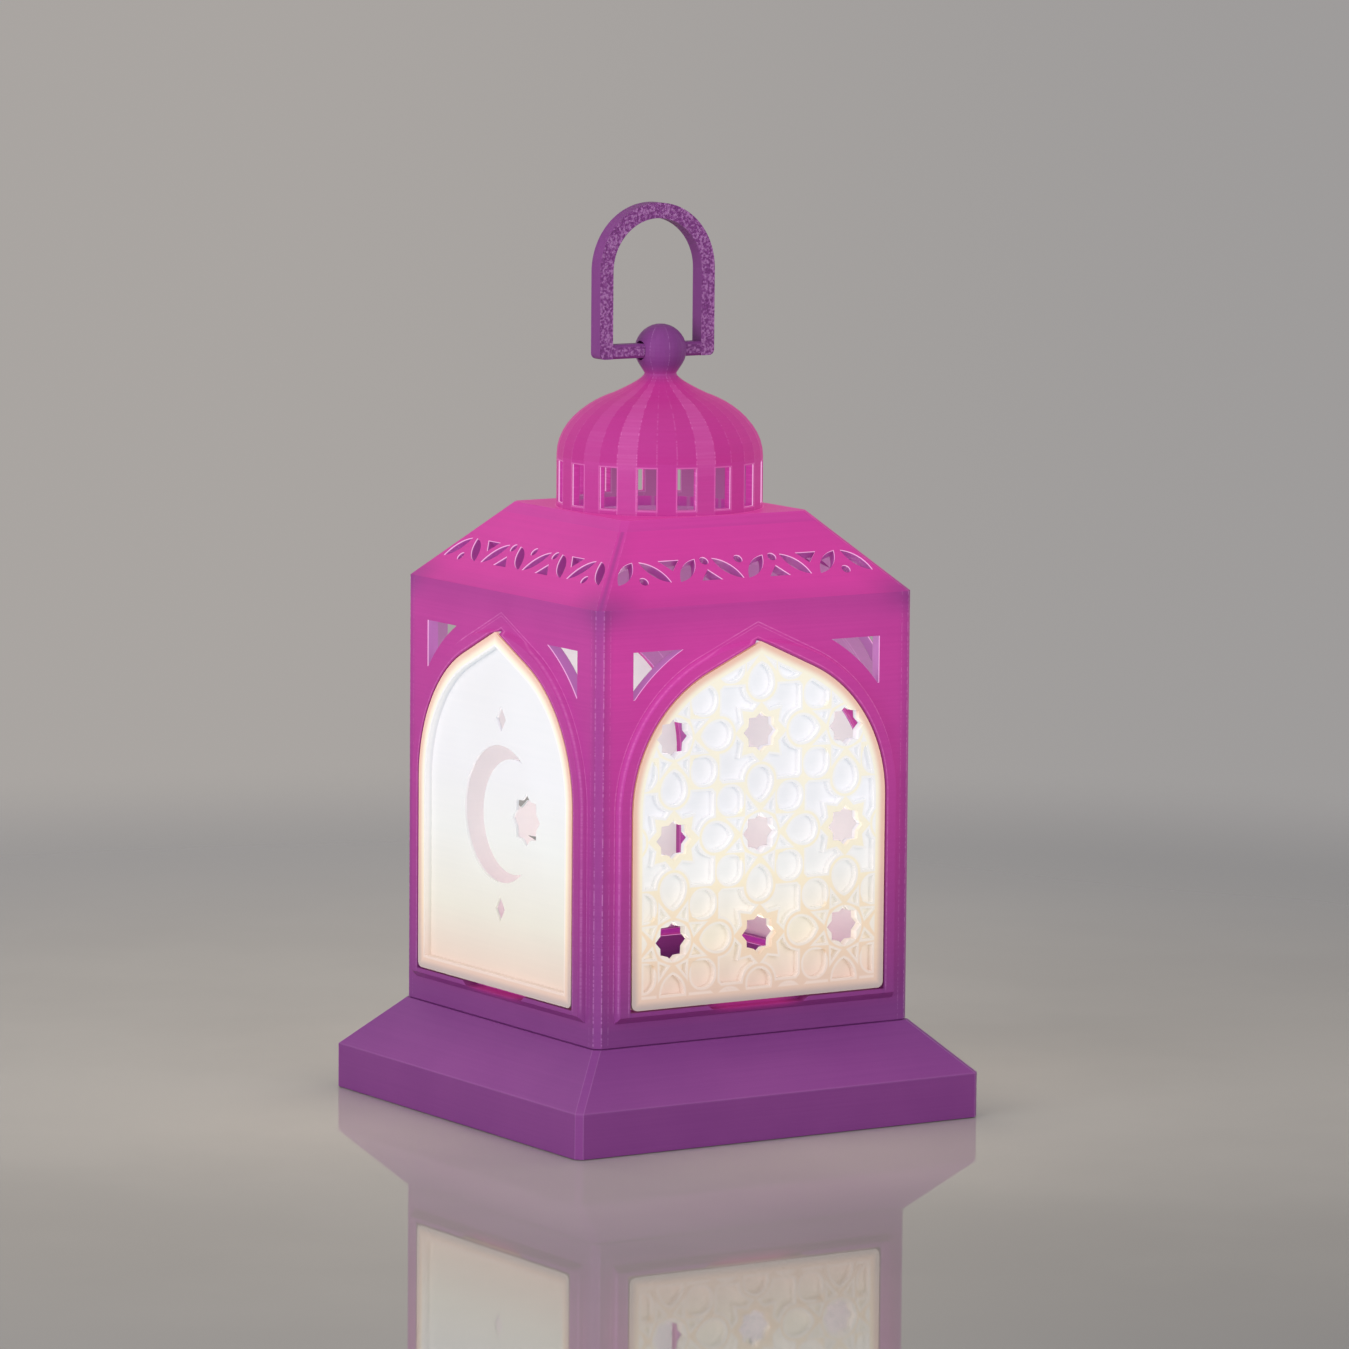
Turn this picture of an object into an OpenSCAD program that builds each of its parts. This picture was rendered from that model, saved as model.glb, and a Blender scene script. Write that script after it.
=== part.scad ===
// A fanous lantern: a pierced square body under a hipped roof and a faceted dome,
// with push-in panels, a swinging carry ring, a flared base and a battery lamp sunk in the base.

/* [Body] */
// Width of the square body across two opposite walls
body_w = 112; // [107:0.5:122]
// Height of the body from its foot to the eave
body_h = 131.6; // [127:0.1:145]
// Thickness of the body walls
wall_t = 4; // [3.6:0.1:5]
// Flat cut along each upright edge of the body
edge_cut = 1.9; // [1:0.1:3]
// Slanted cut along the body's foot, which shows as a dark line above the base
foot_cut = 0.4; // [0.2:0.1:0.8]
// Distance from the eave down to the top of the corner cut-outs
spandrel_top_drop = 13; // [11:0.1:14]
// Distance from a wall's edge in to the upright side of a corner cut-out
spandrel_inset = 12.1; // [11.5:0.1:13]
// Height of a corner cut-out
spandrel_h = 14.3; // [12:0.1:15]
// Band of wall left between the panel and a corner cut-out
spandrel_band = 10.1; // [9:0.1:11]

/* [Panels] */
// Half the width of a panel, which is also the radius of its round top
panel_r = 44.9; // [43:0.1:46.5]
// Height of the panel's lower edge above the body's foot
panel_z = 11.2; // [9:0.1:13]
// Distance from the eave down to the centre of the panel's round top
arch_drop = 61.3; // [58:0.1:66]
// Angle from upright at which the round top turns into the straight tip
tip_angle = 24.6; // [20:0.1:28]
// Thickness of a panel at its rim
panel_t = 3.2; // [2.9:0.1:3.8]
// How far the rim stands out from the wall
panel_proud = 2.2; // [1.6:0.1:2.6]
// Width of the rim around the field
rim_w = 4; // [3:0.1:5]
// How far the field and the cells lie behind the front of the rim
field_drop = 2.3; // [2:0.1:2.6]
// Radius of the two lower corners of a panel
panel_corner = 2; // [1:0.1:3]

/* [Star pattern] */
// Distance between the centres of neighbouring stars
star_pitch = 30.6; // [29:0.1:32]
// Height of the middle row of stars above the panel's lower edge
star_lift = 50.6; // [49:0.1:53]
// Radius of a star hole at its points
star_r = 6.2; // [5.4:0.1:6.6]
// Radius of a star hole at its notches
star_notch_r = 4.9; // [4.2:0.1:5.2]

/* [Crescent pattern] */
// Outer radius of the crescent
moon_r = 21; // [18:0.5:23]
// Radius of the circle that bites the crescent out
moon_bite_r = 17.5; // [15:0.5:18]
// How far the bite lies to the side of the crescent's centre
moon_bite_shift = 7.5; // [6:0.5:9]
// Height of the crescent's centre above the panel's lower edge
moon_lift = 52.8; // [49:0.1:57]
// Radius of the star beside the crescent at its points
moon_star_r = 8; // [6:0.5:9]
// Distance of that star from the crescent's centre
moon_star_shift = 15; // [13:0.5:17]
// Half height of the small drops set around the crescent
drop_r = 4; // [3:0.1:5]

/* [Moulding] */
// Width of the flat top of the raised moulding
mould_w = 3.5; // [3:0.1:4]
// Width of the sloping flank outside it
mould_flank = 0.8; // [0.5:0.1:1.2]
// Width of the flat top of the moulding below the panel
sill_w = 1.3; // [1:0.1:2.2]
// Height of the slanted underside of that moulding
sill_flank = 2; // [1:0.1:2.4]
// Width of the finger notch in the moulding below the panel
notch_w = 36; // [28:0.5:44]
// How far the notch's ends slope in
notch_slope = 1.8; // [1:0.1:3]
// How deep the notch goes into the wall
notch_t = 2; // [1.5:0.1:2.5]

/* [Roof] */
// Height of the sloping roof
roof_rise = 23.5; // [21:0.1:26]
// Width of the flat top of the roof
roof_top_w = 65.6; // [63.4:0.1:67]
// Thickness of the sloping roof
roof_t = 3.4; // [3:0.1:4]
// Thickness of the flat top of the roof
plate_t = 3; // [2.5:0.1:4]
// Length of a leaf cut-out in the roof
leaf_len = 11.9; // [10.5:0.1:12.5]
// Width of a leaf cut-out
leaf_w = 3.9; // [3:0.1:4.4]
// Distance of the leaves' centres up the slope from the eave
leaf_rise = 13.2; // [12.5:0.1:14]
// Diameter of the small round holes between the leaves
dot_d = 3; // [2.4:0.1:3.4]
// Width of the small triangles
tri_w = 7.6; // [6.4:0.1:8.2]
// Height of the small triangles
tri_h = 4.2; // [3.6:0.1:4.6]

/* [Dome] */
// Width left free between the drum's corners and the edges of the roof's flat top
drum_margin = 1.35; // [1.2:0.05:2.3]
// Thickness of the drum wall
drum_t = 3; // [2.5:0.1:3.5]
// Height of the drum above the flat top of the roof
drum_h = 15.6; // [14.8:0.1:18]
// Height of the rounded part of the dome if it closed at the top
dome_rise = 21.1; // [20:0.1:23]
// Height of the neck above the drum
neck_rise = 25; // [24:0.1:27]
// Radius of the neck
neck_r = 4.85; // [4.6:0.05:5.5]
// Radius at which the round dome turns into the sweep up to the neck
sweep_r = 14.5; // [13:0.1:16]
// Radius of the ball on the neck
ball_r = 7.9; // [7.5:0.1:8.5]
// Width of a window in the drum
window_w = 5.9; // [5:0.1:6]
// Height of a window in the drum
window_h = 12.6; // [10:0.1:13.5]
// Height of the window's sill above the flat top of the roof
window_sill = 1.6; // [0.6:0.1:2.6]

/* [Carry ring] */
// Outer width of the ring
ring_w = 41; // [39:0.5:46]
// Outer height of the ring
ring_h = 47; // [45:0.1:56]
// Width of the ring's legs and arch
ring_leg = 4.7; // [4.2:0.1:5.2]
// Depth of the ring from front to back
ring_d = 5.1; // [4.6:0.1:5.4]
// Height of the ring's lower bar
bar_h = 4.3; // [4.1:0.1:5]
// Radius that the bar's corners are rounded to, about the swing axis
bar_r = 2.9; // [2.7:0.05:3.1]
// How far the ring sits off centre along its bar
ring_shift = 2.8; // [0:0.1:4]
// Gap between the bar's two ends inside the ball
bar_slit = 1; // [0.6:0.1:2]
// Radius of the ring's two lower corners
ring_corner = 1.8; // [1:0.1:2.2]

/* [Base] */
// How far the foot of the base stands out past the body
base_flare = 15.85; // [13:0.05:24]
// How far the top of the base stands out past the body
base_ledge = 0.5; // [0.2:0.1:6]
// Height of the base
base_h = 29; // [28.4:0.1:34]
// Height of the upright band around the foot of the base
base_band_h = 13.5; // [10:0.1:16]
// Flat cut at each corner of the base
base_cut = 1.8; // [1:0.1:3]
// Thickness of the floor under the lamp
floor_t = 4.5; // [3:0.1:4.8]
// Thickness of the round wall around the lamp
well_wall = 5; // [4:0.5:8]
// Height of the lip that keeps the body in place
lip_h = 3; // [2:0.1:4]
// Thickness of that lip
lip_t = 3; // [2:0.1:4]

/* [Lamp] */
// Diameter of the lamp's case
lamp_d = 68; // [67:0.5:72]
// Thickness of the case's wall
case_t = 2; // [1.8:0.1:2.4]
// Thickness of the battery cover
cover_t = 1.8; // [1.6:0.1:2.2]
// How far the battery cover lies inside the foot of the case
cover_recess = 0.6; // [0.4:0.1:1]
// Diameter of a battery cell
cell_d = 10.4; // [10:0.1:10.5]
// Length of a battery cell without its button
cell_len = 43.6; // [43:0.1:44]
// Thickness of the deck above the cells
deck_t = 1.5; // [1.2:0.1:2]
// Height of the pillars that carry the lamp board
pillar_h = 2; // [1.5:0.1:2.5]
// Radius of the lamp board
board_r = 16; // [15:0.1:17]
// Thickness of the lamp board
board_t = 1.6; // [1.2:0.1:1.8]
// Radius of the circle on which the board's screws stand
screw_ring_r = 12.5; // [11.5:0.1:13]
// Radius of a screw's shank
screw_r = 1; // [0.8:0.05:1.2]
// Side of the square push switch
switch_w = 6; // [5:0.1:7]
// Height of the push switch
switch_h = 3; // [2.8:0.1:3.6]
// Radius of the switch's button
button_r = 1.6; // [1.2:0.1:2]
// How far the button stands out of the switch
button_h = 1.4; // [1.3:0.1:2]
// How far the lens can be pressed down
press = 1.2; // [0.8:0.1:1.25]
// Length of a contact spring
spring_len = 4; // [3:0.1:5]
// Thickness of the contact plates
contact_t = 0.4; // [0.3:0.05:0.6]
// Height of the lens's dome above its flange
lens_rise = 3.6; // [2.5:0.1:4.5]
// Thickness of the lens
lens_t = 1.4; // [1.2:0.1:1.6]
// Angle that the battery cover turns through to open
cover_turn = 30; // [20:1:40]

/* [Fits] */
// Gap around a panel in its opening
panel_gap = 0.5; // [0.3:0.05:0.6]
// Gap between the base's lip and the body's walls
lip_gap = 0.5; // [0.3:0.05:1]
// Gap around the lamp in its well
well_gap = 0.6; // [0.4:0.05:1]
// Running gap between the ring's bar and its bore, on the radius
bar_gap = 0.05; // [0.02:0.01:0.1]
// Gap between the loose pieces inside the lamp
lamp_gap = 0.15; // [0.1:0.05:0.2]
// Running gap around the button and the screws, on the radius
pin_gap = 0.05; // [0.02:0.01:0.1]

/* [Hidden] */
$fn = 64;
// Length by which a cut runs past the face that it goes through
overrun = wall_t / 4;

// The walls, the seat of the panels and the moulding
half_body = body_w / 2;
inner_w = body_w - 2 * wall_t;
panel_back = panel_t - panel_proud;
ledge_w = rim_w - overrun;
opening_r = panel_r + panel_gap;
mould_r = opening_r + mould_w;
mould_foot_r = mould_r + mould_flank;
sill_z = panel_z - panel_gap;
sill_foot_z = sill_z - sill_w - sill_flank;
spandrel_x = half_body - spandrel_inset;
spandrel_z = body_h - spandrel_top_drop;
arch_z = body_h - arch_drop;
base_w = body_w + 2 * base_flare;
base_top_w = body_w + 2 * base_ledge;
cover_all = body_w + base_w;

// The star pattern: every place is a share of the distance between two stars
star_mid_z = panel_z + star_lift;
star_points = 8;
star_rows = [-2, -1, 0, 1, 2];
star_columns = [-1, 0, 1];
strap_share = 0.056;
kite_shares = [[0.151, 0.341], [0.066, 0.245], [0.154, 0.21]];
lemon_tip_share = 0.325;
lemon_mid_share = 0.521;
lemon_half_share = 0.134;
petal_near_share = 0.211;
petal_far_share = 0.481;
petal_round_share = 0.125;
petal_sharp_share = 0.025;
frame_corner_share = 0.249;
frame_notch_shares = [0.105, 0.226];
frame_side_share = 0.056;
frame_edge_share = 0.458;
corner_arc_share = 0.2096;
arc_steps = 6;
// The crescent pattern: half the width of a drop, as a share of half its height
drop_half_share = 0.7;
moon_z = panel_z + moon_lift;

// The roof: a slope from the eave up to the flat top
roof_run = (body_w - roof_top_w) / 2;
roof_angle = atan2(roof_rise, roof_run);
slope_len = norm([roof_run, roof_rise]);
roof_inner_shift = roof_t / sin(roof_angle);
roof_inner_top = roof_rise - plate_t;
roof_inner_low_w = body_w - 2 * (roof_inner_shift - overrun * roof_run / roof_rise);
roof_inner_high_w = roof_top_w - 2 * roof_inner_shift;
plate_low_w = roof_top_w + 2 * plate_t * roof_run / roof_rise;
leaf_r = (pow(leaf_len / 2, 2) + pow(leaf_w / 2, 2)) / leaf_w;
// Places along the eave, as shares of half the body's width, and which way each leaf leans
leaf_shares = [[0.0893, 1], [0.3429, -1], [0.5482, 1], [0.7357, -1]];
dot_shares = [[0, 1], [0.216, 1], [0.643, -1]];
dot_rise_share = 0.76;
tri_up_share = 0.216;
tri_down_share = 0.436;

// The drum, the dome and the ball: one many-sided shell around the upright axis
dome_sides = 32;
dome_r = roof_top_w / 2 - drum_margin;
dome_steps = 12;
sweep_steps = 6;
ball_steps = 12;
drum_z = body_h + roof_rise;
dome_z = drum_z + drum_h;
neck_z = dome_z + neck_rise;
sweep_share = 0.71;
sweep_z = dome_rise * sqrt(1 - pow(sweep_r / dome_r, 2));
ball_cone_angle = 32.6;
ball_low_r = ball_r * cos(ball_cone_angle);
ball_low_z = -ball_r * sin(ball_cone_angle);
ball_foot_z = ball_low_z - (ball_low_r - neck_r) / tan(ball_cone_angle);
ball_z = neck_z - ball_foot_z;
drum_inner_r = dome_r - drum_t;
bore_r = bar_r + bar_gap;

// The ring, measured from its swing axis
ring_top = ring_h - bar_h / 2;
ring_arch_z = ring_top - ring_w / 2;

// The base and the lamp's well
well_r = lamp_d / 2 + well_gap;
lip_w = inner_w - 2 * lip_gap;

// The lamp, measured up from the well's floor
lamp_r = lamp_d / 2;
case_r = lamp_r - case_t;
cell_r = cell_d / 2;
cell_button_share = 1 / 3;
cell_button_r = cell_r * cell_button_share;
cell_button_len = contact_t * 2;
cover_top = cover_recess + cover_t;
cell_foot = cover_top + lamp_gap;
cell_z = cell_foot + cell_r;
cell_pitch = cell_d + lamp_gap * 2;
bay_y = (cell_len + cell_button_len + spring_len) / 2;
// Where each contact plate starts and how wide it is, as shares of the distance between two cells
plate_shares = [[-1.5, 2], [0.5, 1]];
deck_z = cell_z + cell_r + lamp_gap;
deck_top = deck_z + deck_t;
board_z = deck_top + pillar_h;
board_top = board_z + board_t;
case_h = board_top + deck_t;
switch_top = board_top + switch_h;
button_top = switch_top + button_h;
screw_len = board_t + pillar_h;
screw_head_r = screw_r * 2;
pillar_share = 2.4;
pillar_r = screw_r * pillar_share;
led_w_share = 0.2;
led_w = board_r * led_w_share;
led_h_share = 0.7;
led_h = lens_t * led_h_share;
led_ring_r = board_r / 2;
screw_count = 3;
led_count = 3;
lens_r = case_r - lamp_gap * 2;
lens_edge_share = 1.5;
lens_dome_r = lens_r - lens_t * lens_edge_share;
post_share = 1.5;
lens_sphere_r = (pow(lens_dome_r, 2) + pow(lens_rise, 2)) / (2 * lens_rise);
lens_seat_z = case_h + press + lens_t;
flange_top = lens_seat_z + lens_t;
lens_top = flange_top + lens_rise;
bezel_top = flange_top + lens_t;
reflector_t = lens_t / 2;
reflector_top = lens_seat_z - press - lamp_gap;
lug_t = cover_t / 2;
lug_reach = case_t / 2;
lug_angle = 20;
lug_spare_angle = 2;
lug_count = 3;

// Points of an arc about a centre, from one angle to another
function arc(centre, radius, from, to, steps) = [
    for (i = [0 : steps])
        centre + radius * [cos(from + (to - from) * i / steps), sin(from + (to - from) * i / steps)]
];

// The lens-shaped cell between two stars: sharp towards one, round towards the other
function lemon_side() =
    let (
        length = lemon_mid_share - lemon_tip_share,
        half = lemon_half_share,
        radius = (length * length + half * half) / (2 * half),
        spread = asin(length / radius)
    )
    arc([half - radius, lemon_mid_share], radius, -spread, 0, arc_steps);
function lemon() = concat(
    lemon_side(),
    arc([0, lemon_mid_share], lemon_half_share, 0, 180, arc_steps * 2),
    [for (i = [arc_steps : -1 : 1]) [-lemon_side()[i][0], lemon_side()[i][1]]]
);

// The rounded square that lies diagonally off a star
function petal() =
    let (near = petal_near_share, far = petal_far_share, big = petal_round_share, small = petal_sharp_share)
    concat(
        arc([near + small, near + small], small, 180, 270, 1),
        arc([far - big, near + big], big, -90, 0, arc_steps),
        arc([far - big, far - big], big, 0, 90, arc_steps),
        arc([near + big, far - big], big, 90, 180, arc_steps)
    );

// The many-pointed cell that fills the corner beside a framed star
function corner_cell() =
    let (
        reach = 1 - lemon_mid_share,
        radius = corner_arc_share,
        edge = frame_edge_share,
        start = -acos(frame_side_share / radius),
        end = -asin((reach - edge) / radius),
        side = arc([0, reach], radius, start, end, arc_steps)
    )
    concat(
        side,
        [[edge - strap_share / 2, edge], [edge, edge - strap_share / 2]],
        [for (i = [arc_steps : -1 : 0]) [side[i][1], side[i][0]]],
        [[frame_notch_shares[1], frame_notch_shares[0]]],
        [[frame_corner_share, frame_corner_share]],
        [frame_notch_shares]
    );

// The outline of a panel, grown by a distance all round
module arch(grow, corner = 0) {
    radius = panel_r + grow;
    foot = panel_z - grow;
    translate([0, arch_z]) circle(radius);
    translate([-radius, foot + corner]) square([2 * radius, arch_z - foot - corner]);
    polygon([
        [0, arch_z],
        [radius * sin(tip_angle), arch_z + radius * cos(tip_angle)],
        [0, arch_z + radius / cos(tip_angle)],
        [-radius * sin(tip_angle), arch_z + radius * cos(tip_angle)]
    ]);
    if (corner > 0) {
        translate([-radius + corner, foot]) square([2 * (radius - corner), corner * 2]);
        for (side = [-1, 1]) translate([side * (radius - corner), foot + corner]) circle(corner);
    }
}

// Stands a flat shape up against the front wall, from one depth behind its face to another
module on_face(out, back) {
    translate([0, -half_body + back, 0]) rotate([90, 0, 0]) linear_extrude(out + back) children();
}

// Turns what is made for the front wall to one of the four walls
module on_wall(turn) {
    rotate([0, 0, 90 * turn]) children();
}

// A square with its corners cut flat
module cut_square(width, cut) {
    half = width / 2;
    polygon([
        [half, half - cut], [half - cut, half], [cut - half, half], [-half, half - cut],
        [-half, cut - half], [cut - half, -half], [half - cut, -half], [half, cut - half]
    ]);
}

// A block with sloping sides and cut corners, wider at its foot than at its top
module sloped_block(low_w, top_w, cut, height) {
    intersection_for (turn = [0 : 3]) {
        low = turn % 2 == 0 ? low_w / 2 : (low_w - cut) / sqrt(2);
        top = turn % 2 == 0 ? top_w / 2 : (top_w - cut) / sqrt(2);
        rotate([90, 0, 45 * turn])
            linear_extrude(cover_all, center = true)
                polygon([[-low, 0], [low, 0], [top, height], [-top, height]]);
    }
}

// The eight-pointed star hole
module star(point_r, notch_r) {
    polygon([
        for (i = [0 : 2 * star_points - 1])
            let (radius = i % 2 == 0 ? point_r : notch_r, angle = 180 * i / star_points)
            radius * [cos(angle), sin(angle)]
    ]);
}

// Half of the straight tip of the moulding, leaning on the round part
module mould_tip() {
    reach = mould_foot_r * tan(tip_angle);
    intersection() {
        rotate([0, tip_angle, 0]) translate([-reach, 0, 0])
            rotate([90, 0, 90]) linear_extrude(reach)
                polygon([[0, 0], [0, mould_foot_r], [-panel_proud, mould_r], [-panel_proud, 0]]);
        translate([0, -panel_proud, 0]) cube([mould_foot_r, panel_proud, mould_foot_r * 2]);
    }
}

// The raised moulding around a panel, before its opening is cut
module moulding() {
    leg_h = arch_z - sill_foot_z;
    translate([0, -half_body, 0]) {
        translate([0, 0, arch_z]) {
            rotate([90, 0, 0]) cylinder(panel_proud, mould_foot_r, mould_r);
            mould_tip();
            mirror([1, 0, 0]) mould_tip();
        }
        intersection() {
            translate([0, 0, sill_foot_z]) linear_extrude(leg_h)
                polygon([
                    [-mould_foot_r, 0], [mould_foot_r, 0],
                    [mould_r, -panel_proud], [-mould_r, -panel_proud]
                ]);
            rotate([90, 0, 90]) linear_extrude(cover_all, center = true)
                polygon([
                    [0, sill_foot_z], [0, arch_z],
                    [-panel_proud, arch_z], [-panel_proud, sill_foot_z + sill_flank]
                ]);
        }
    }
}

// The finger notch in the moulding below the panel
module sill_notch() {
    on_face(panel_proud + overrun, notch_t)
        polygon([
            [-notch_w / 2, panel_z + overrun], [notch_w / 2, panel_z + overrun], [notch_w / 2, sill_z],
            [notch_w / 2 - notch_slope, sill_z - sill_w], [notch_slope - notch_w / 2, sill_z - sill_w],
            [-notch_w / 2, sill_z]
        ]);
}

// Everything that is cut through one wall
module wall_cuts() {
    on_face(panel_proud + overrun, panel_back) arch(panel_gap);
    on_face(0, wall_t + overrun) arch(-ledge_w);
    sill_notch();
    for (side = [0, 1]) mirror([side, 0, 0])
        on_face(overrun, wall_t + overrun) difference() {
            translate([0, spandrel_z - spandrel_h]) square([spandrel_x, spandrel_h]);
            translate([0, arch_z]) circle(panel_r + spandrel_band);
        }
}

// A leaf: the space that two circles share, leaning to one side
module leaf(lean) {
    shift = leaf_r - leaf_w / 2;
    rotate(-45 * lean) intersection() {
        translate([-shift, 0]) circle(leaf_r);
        translate([shift, 0]) circle(leaf_r);
    }
}

// The cut-outs of one roof slope, drawn flat with the eave along the bottom
module roof_pattern() {
    for (side = [0, 1]) mirror([side, 0]) {
        for (place = leaf_shares) translate([place[0] * half_body, leaf_rise]) leaf(place[1]);
        for (place = dot_shares)
            translate([place[0] * half_body, leaf_rise + place[1] * tri_h * dot_rise_share])
                circle(dot_d / 2);
        translate([tri_up_share * half_body, leaf_rise - tri_h])
            polygon([[-tri_w / 2, 0], [tri_w / 2, 0], [0, tri_h]]);
        translate([tri_down_share * half_body, leaf_rise + tri_h])
            polygon([[-tri_w / 2, 0], [tri_w / 2, 0], [0, -tri_h]]);
    }
}

module roof_cuts() {
    translate([0, -half_body, body_h]) rotate([roof_angle, 0, 0]) translate([0, 0, -roof_t - overrun])
        linear_extrude(roof_t + 2 * overrun) roof_pattern();
}

// The outside of the dome and ball as [radius, height] pairs, from the drum up
function dome_outside() = concat(
    [for (i = [0 : dome_steps])
        let (share = sqrt(1 - pow(sweep_r / dome_r, 2)), rise = share * sin(90 * i / dome_steps))
        [dome_r * sqrt(1 - rise * rise), dome_z + dome_rise * rise]],
    [for (i = [1 : sweep_steps])
        let (t = i / sweep_steps, s = 1 - t, bend = sweep_z + (neck_rise - sweep_z) * sweep_share)
        [s * s * sweep_r + (2 * s * t + t * t) * neck_r,
         dome_z + s * s * sweep_z + 2 * s * t * bend + t * t * neck_rise]],
    [for (i = [0 : ball_steps - 1])
        let (angle = (90 + ball_cone_angle) * i / ball_steps - ball_cone_angle)
        ball_r * [cos(angle), sin(angle)] + [0, ball_z]]
);

// The inside of the dome, from the drum up
function dome_inside() = [
    for (i = [0 : dome_steps - 1])
        [drum_inner_r * cos(90 * i / dome_steps),
         dome_z + (dome_rise - drum_t) * sin(90 * i / dome_steps)]
];

// One many-sided shell between two outlines that both close on the axis at the top
module many_sided_shell(outside, inside, top, inner_top) {
    n = dome_sides;
    rings = concat(outside, inside);
    pole = len(rings) * n;
    second = len(outside);
    points = concat(
        [for (ring = rings) for (k = [0 : n - 1])
            [ring[0] * cos(360 * k / n), ring[0] * sin(360 * k / n), ring[1]]],
        [[0, 0, top], [0, 0, inner_top]]
    );
    faces = concat(
        [for (i = [0 : second - 2]) for (k = [0 : n - 1])
            [i * n + k, (i + 1) * n + k, (i + 1) * n + (k + 1) % n, i * n + (k + 1) % n]],
        [for (k = [0 : n - 1]) [(second - 1) * n + k, pole, (second - 1) * n + (k + 1) % n]],
        [for (i = [second : len(rings) - 2]) for (k = [0 : n - 1])
            [i * n + k, i * n + (k + 1) % n, (i + 1) * n + (k + 1) % n, (i + 1) * n + k]],
        [for (k = [0 : n - 1])
            [(len(rings) - 1) * n + k, (len(rings) - 1) * n + (k + 1) % n, pole + 1]],
        [for (k = [0 : n - 1]) [k, (k + 1) % n, second * n + (k + 1) % n, second * n + k]]
    );
    polyhedron(points, faces);
}

// A flat many-sided outline with its corners on a circle
module many_sided(radius) {
    step = 360 / dome_sides;
    polygon([for (k = [0 : dome_sides - 1]) radius * [cos(step * k), sin(step * k)]]);
}

module dome() {
    color("mediumorchid") translate([0, 0, base_h]) difference() {
        many_sided_shell(dome_outside(), dome_inside(), ball_z + ball_r, dome_z + dome_rise - drum_t);
        translate([0, 0, ball_z]) rotate([0, 90, 0]) cylinder(ball_r * 3, r = bore_r, center = true);
    }
}

// The drum under the dome, with a window in every second side
module drum() {
    window_start = drum_inner_r * cos(180 / dome_sides) - overrun;
    color("mediumorchid") translate([0, 0, base_h + drum_z]) difference() {
        linear_extrude(drum_h) difference() {
            many_sided(dome_r);
            many_sided(drum_inner_r);
        }
        for (k = [0 : dome_sides / 2 - 1])
            rotate([0, 0, 360 * (2 * k + 0.5) / dome_sides])
                translate([window_start, -window_w / 2, window_sill])
                    cube([dome_r + overrun - window_start, window_w, window_h]);
    }
}

// One slope of the roof with its cut-outs, mitred at both hips, up to the flat top
module slope() {
    reach = half_body + overrun;
    color("mediumorchid") translate([0, 0, base_h]) difference() {
        intersection() {
            translate([0, 0, body_h]) sloped_block(body_w, roof_top_w, edge_cut, roof_rise);
            translate([0, 0, body_h]) linear_extrude(roof_inner_top)
                polygon([[0, 0], [-reach, -reach], [reach, -reach]]);
        }
        translate([0, 0, body_h - overrun])
            sloped_block(roof_inner_low_w, roof_inner_high_w, edge_cut, roof_rise + overrun);
        roof_cuts();
    }
}

module front_slope() {
    slope();
}

module right_slope() {
    on_wall(1) slope();
}

module back_slope() {
    on_wall(2) slope();
}

module left_slope() {
    on_wall(3) slope();
}

// The flat top of the roof, open under the drum
module roof_plate() {
    color("mediumorchid") translate([0, 0, base_h + body_h + roof_inner_top]) difference() {
        sloped_block(plate_low_w, roof_top_w, edge_cut, plate_t);
        translate([0, 0, -overrun]) linear_extrude(plate_t + 2 * overrun) many_sided(drum_inner_r);
    }
}

// The four walls with their mouldings and openings
module housing() {
    color("mediumorchid") translate([0, 0, base_h]) difference() {
        union() {
            sloped_block(body_w - 2 * foot_cut, body_w, edge_cut, foot_cut);
            translate([0, 0, foot_cut]) linear_extrude(body_h - foot_cut) cut_square(body_w, edge_cut);
            for (turn = [0 : 3]) on_wall(turn) moulding();
        }
        translate([0, 0, -overrun]) linear_extrude(body_h + 2 * overrun) cut_square(inner_w, edge_cut);
        for (turn = [0 : 3]) on_wall(turn) wall_cuts();
    }
}

// The sunk cells around one star: an open star has kites and petals, a framed one has corner cells
module star_cells(open_star) {
    for (turn = [0 : 3]) rotate(90 * turn) {
        if (open_star) {
            polygon(star_pitch * kite_shares);
            polygon([for (p = kite_shares) star_pitch * [p[1], p[0]]]);
            polygon(star_pitch * petal());
        } else {
            polygon(star_pitch * corner_cell());
        }
    }
}

// All sunk cells of the pattern
module cell_pattern() {
    translate([0, star_mid_z]) {
        for (i = star_columns) for (j = star_rows)
            translate(star_pitch * [i, j]) star_cells((i + j) % 2 == 0);
        for (i = star_columns) for (j = [-1 : 1]) if ((i + j) % 2 == 0)
            translate(star_pitch * [i, j]) for (turn = [0 : 3])
                if (turn % 2 == 0 || i * (turn == 1 ? -1 : 1) < 1)
                    rotate(90 * turn) polygon(star_pitch * lemon());
        for (end = [-1, 1]) translate([0, end * 2 * star_pitch]) rotate(90 + 90 * end)
            polygon(star_pitch * lemon());
    }
}

// A panel with eight-pointed star holes; the straps between its sunk cells are level with the rim
module star_panel() {
    color("whitesmoke") translate([0, 0, base_h]) difference() {
        on_face(panel_proud, panel_back) arch(0, panel_corner);
        on_face(panel_proud + overrun, field_drop - panel_proud) intersection() {
            arch(-rim_w);
            cell_pattern();
        }
        on_face(panel_proud + overrun, wall_t) translate([0, star_mid_z])
            for (i = star_columns) for (j = [-1 : 1])
                translate(star_pitch * [i, j]) star(star_r, star_notch_r);
    }
}

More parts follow.
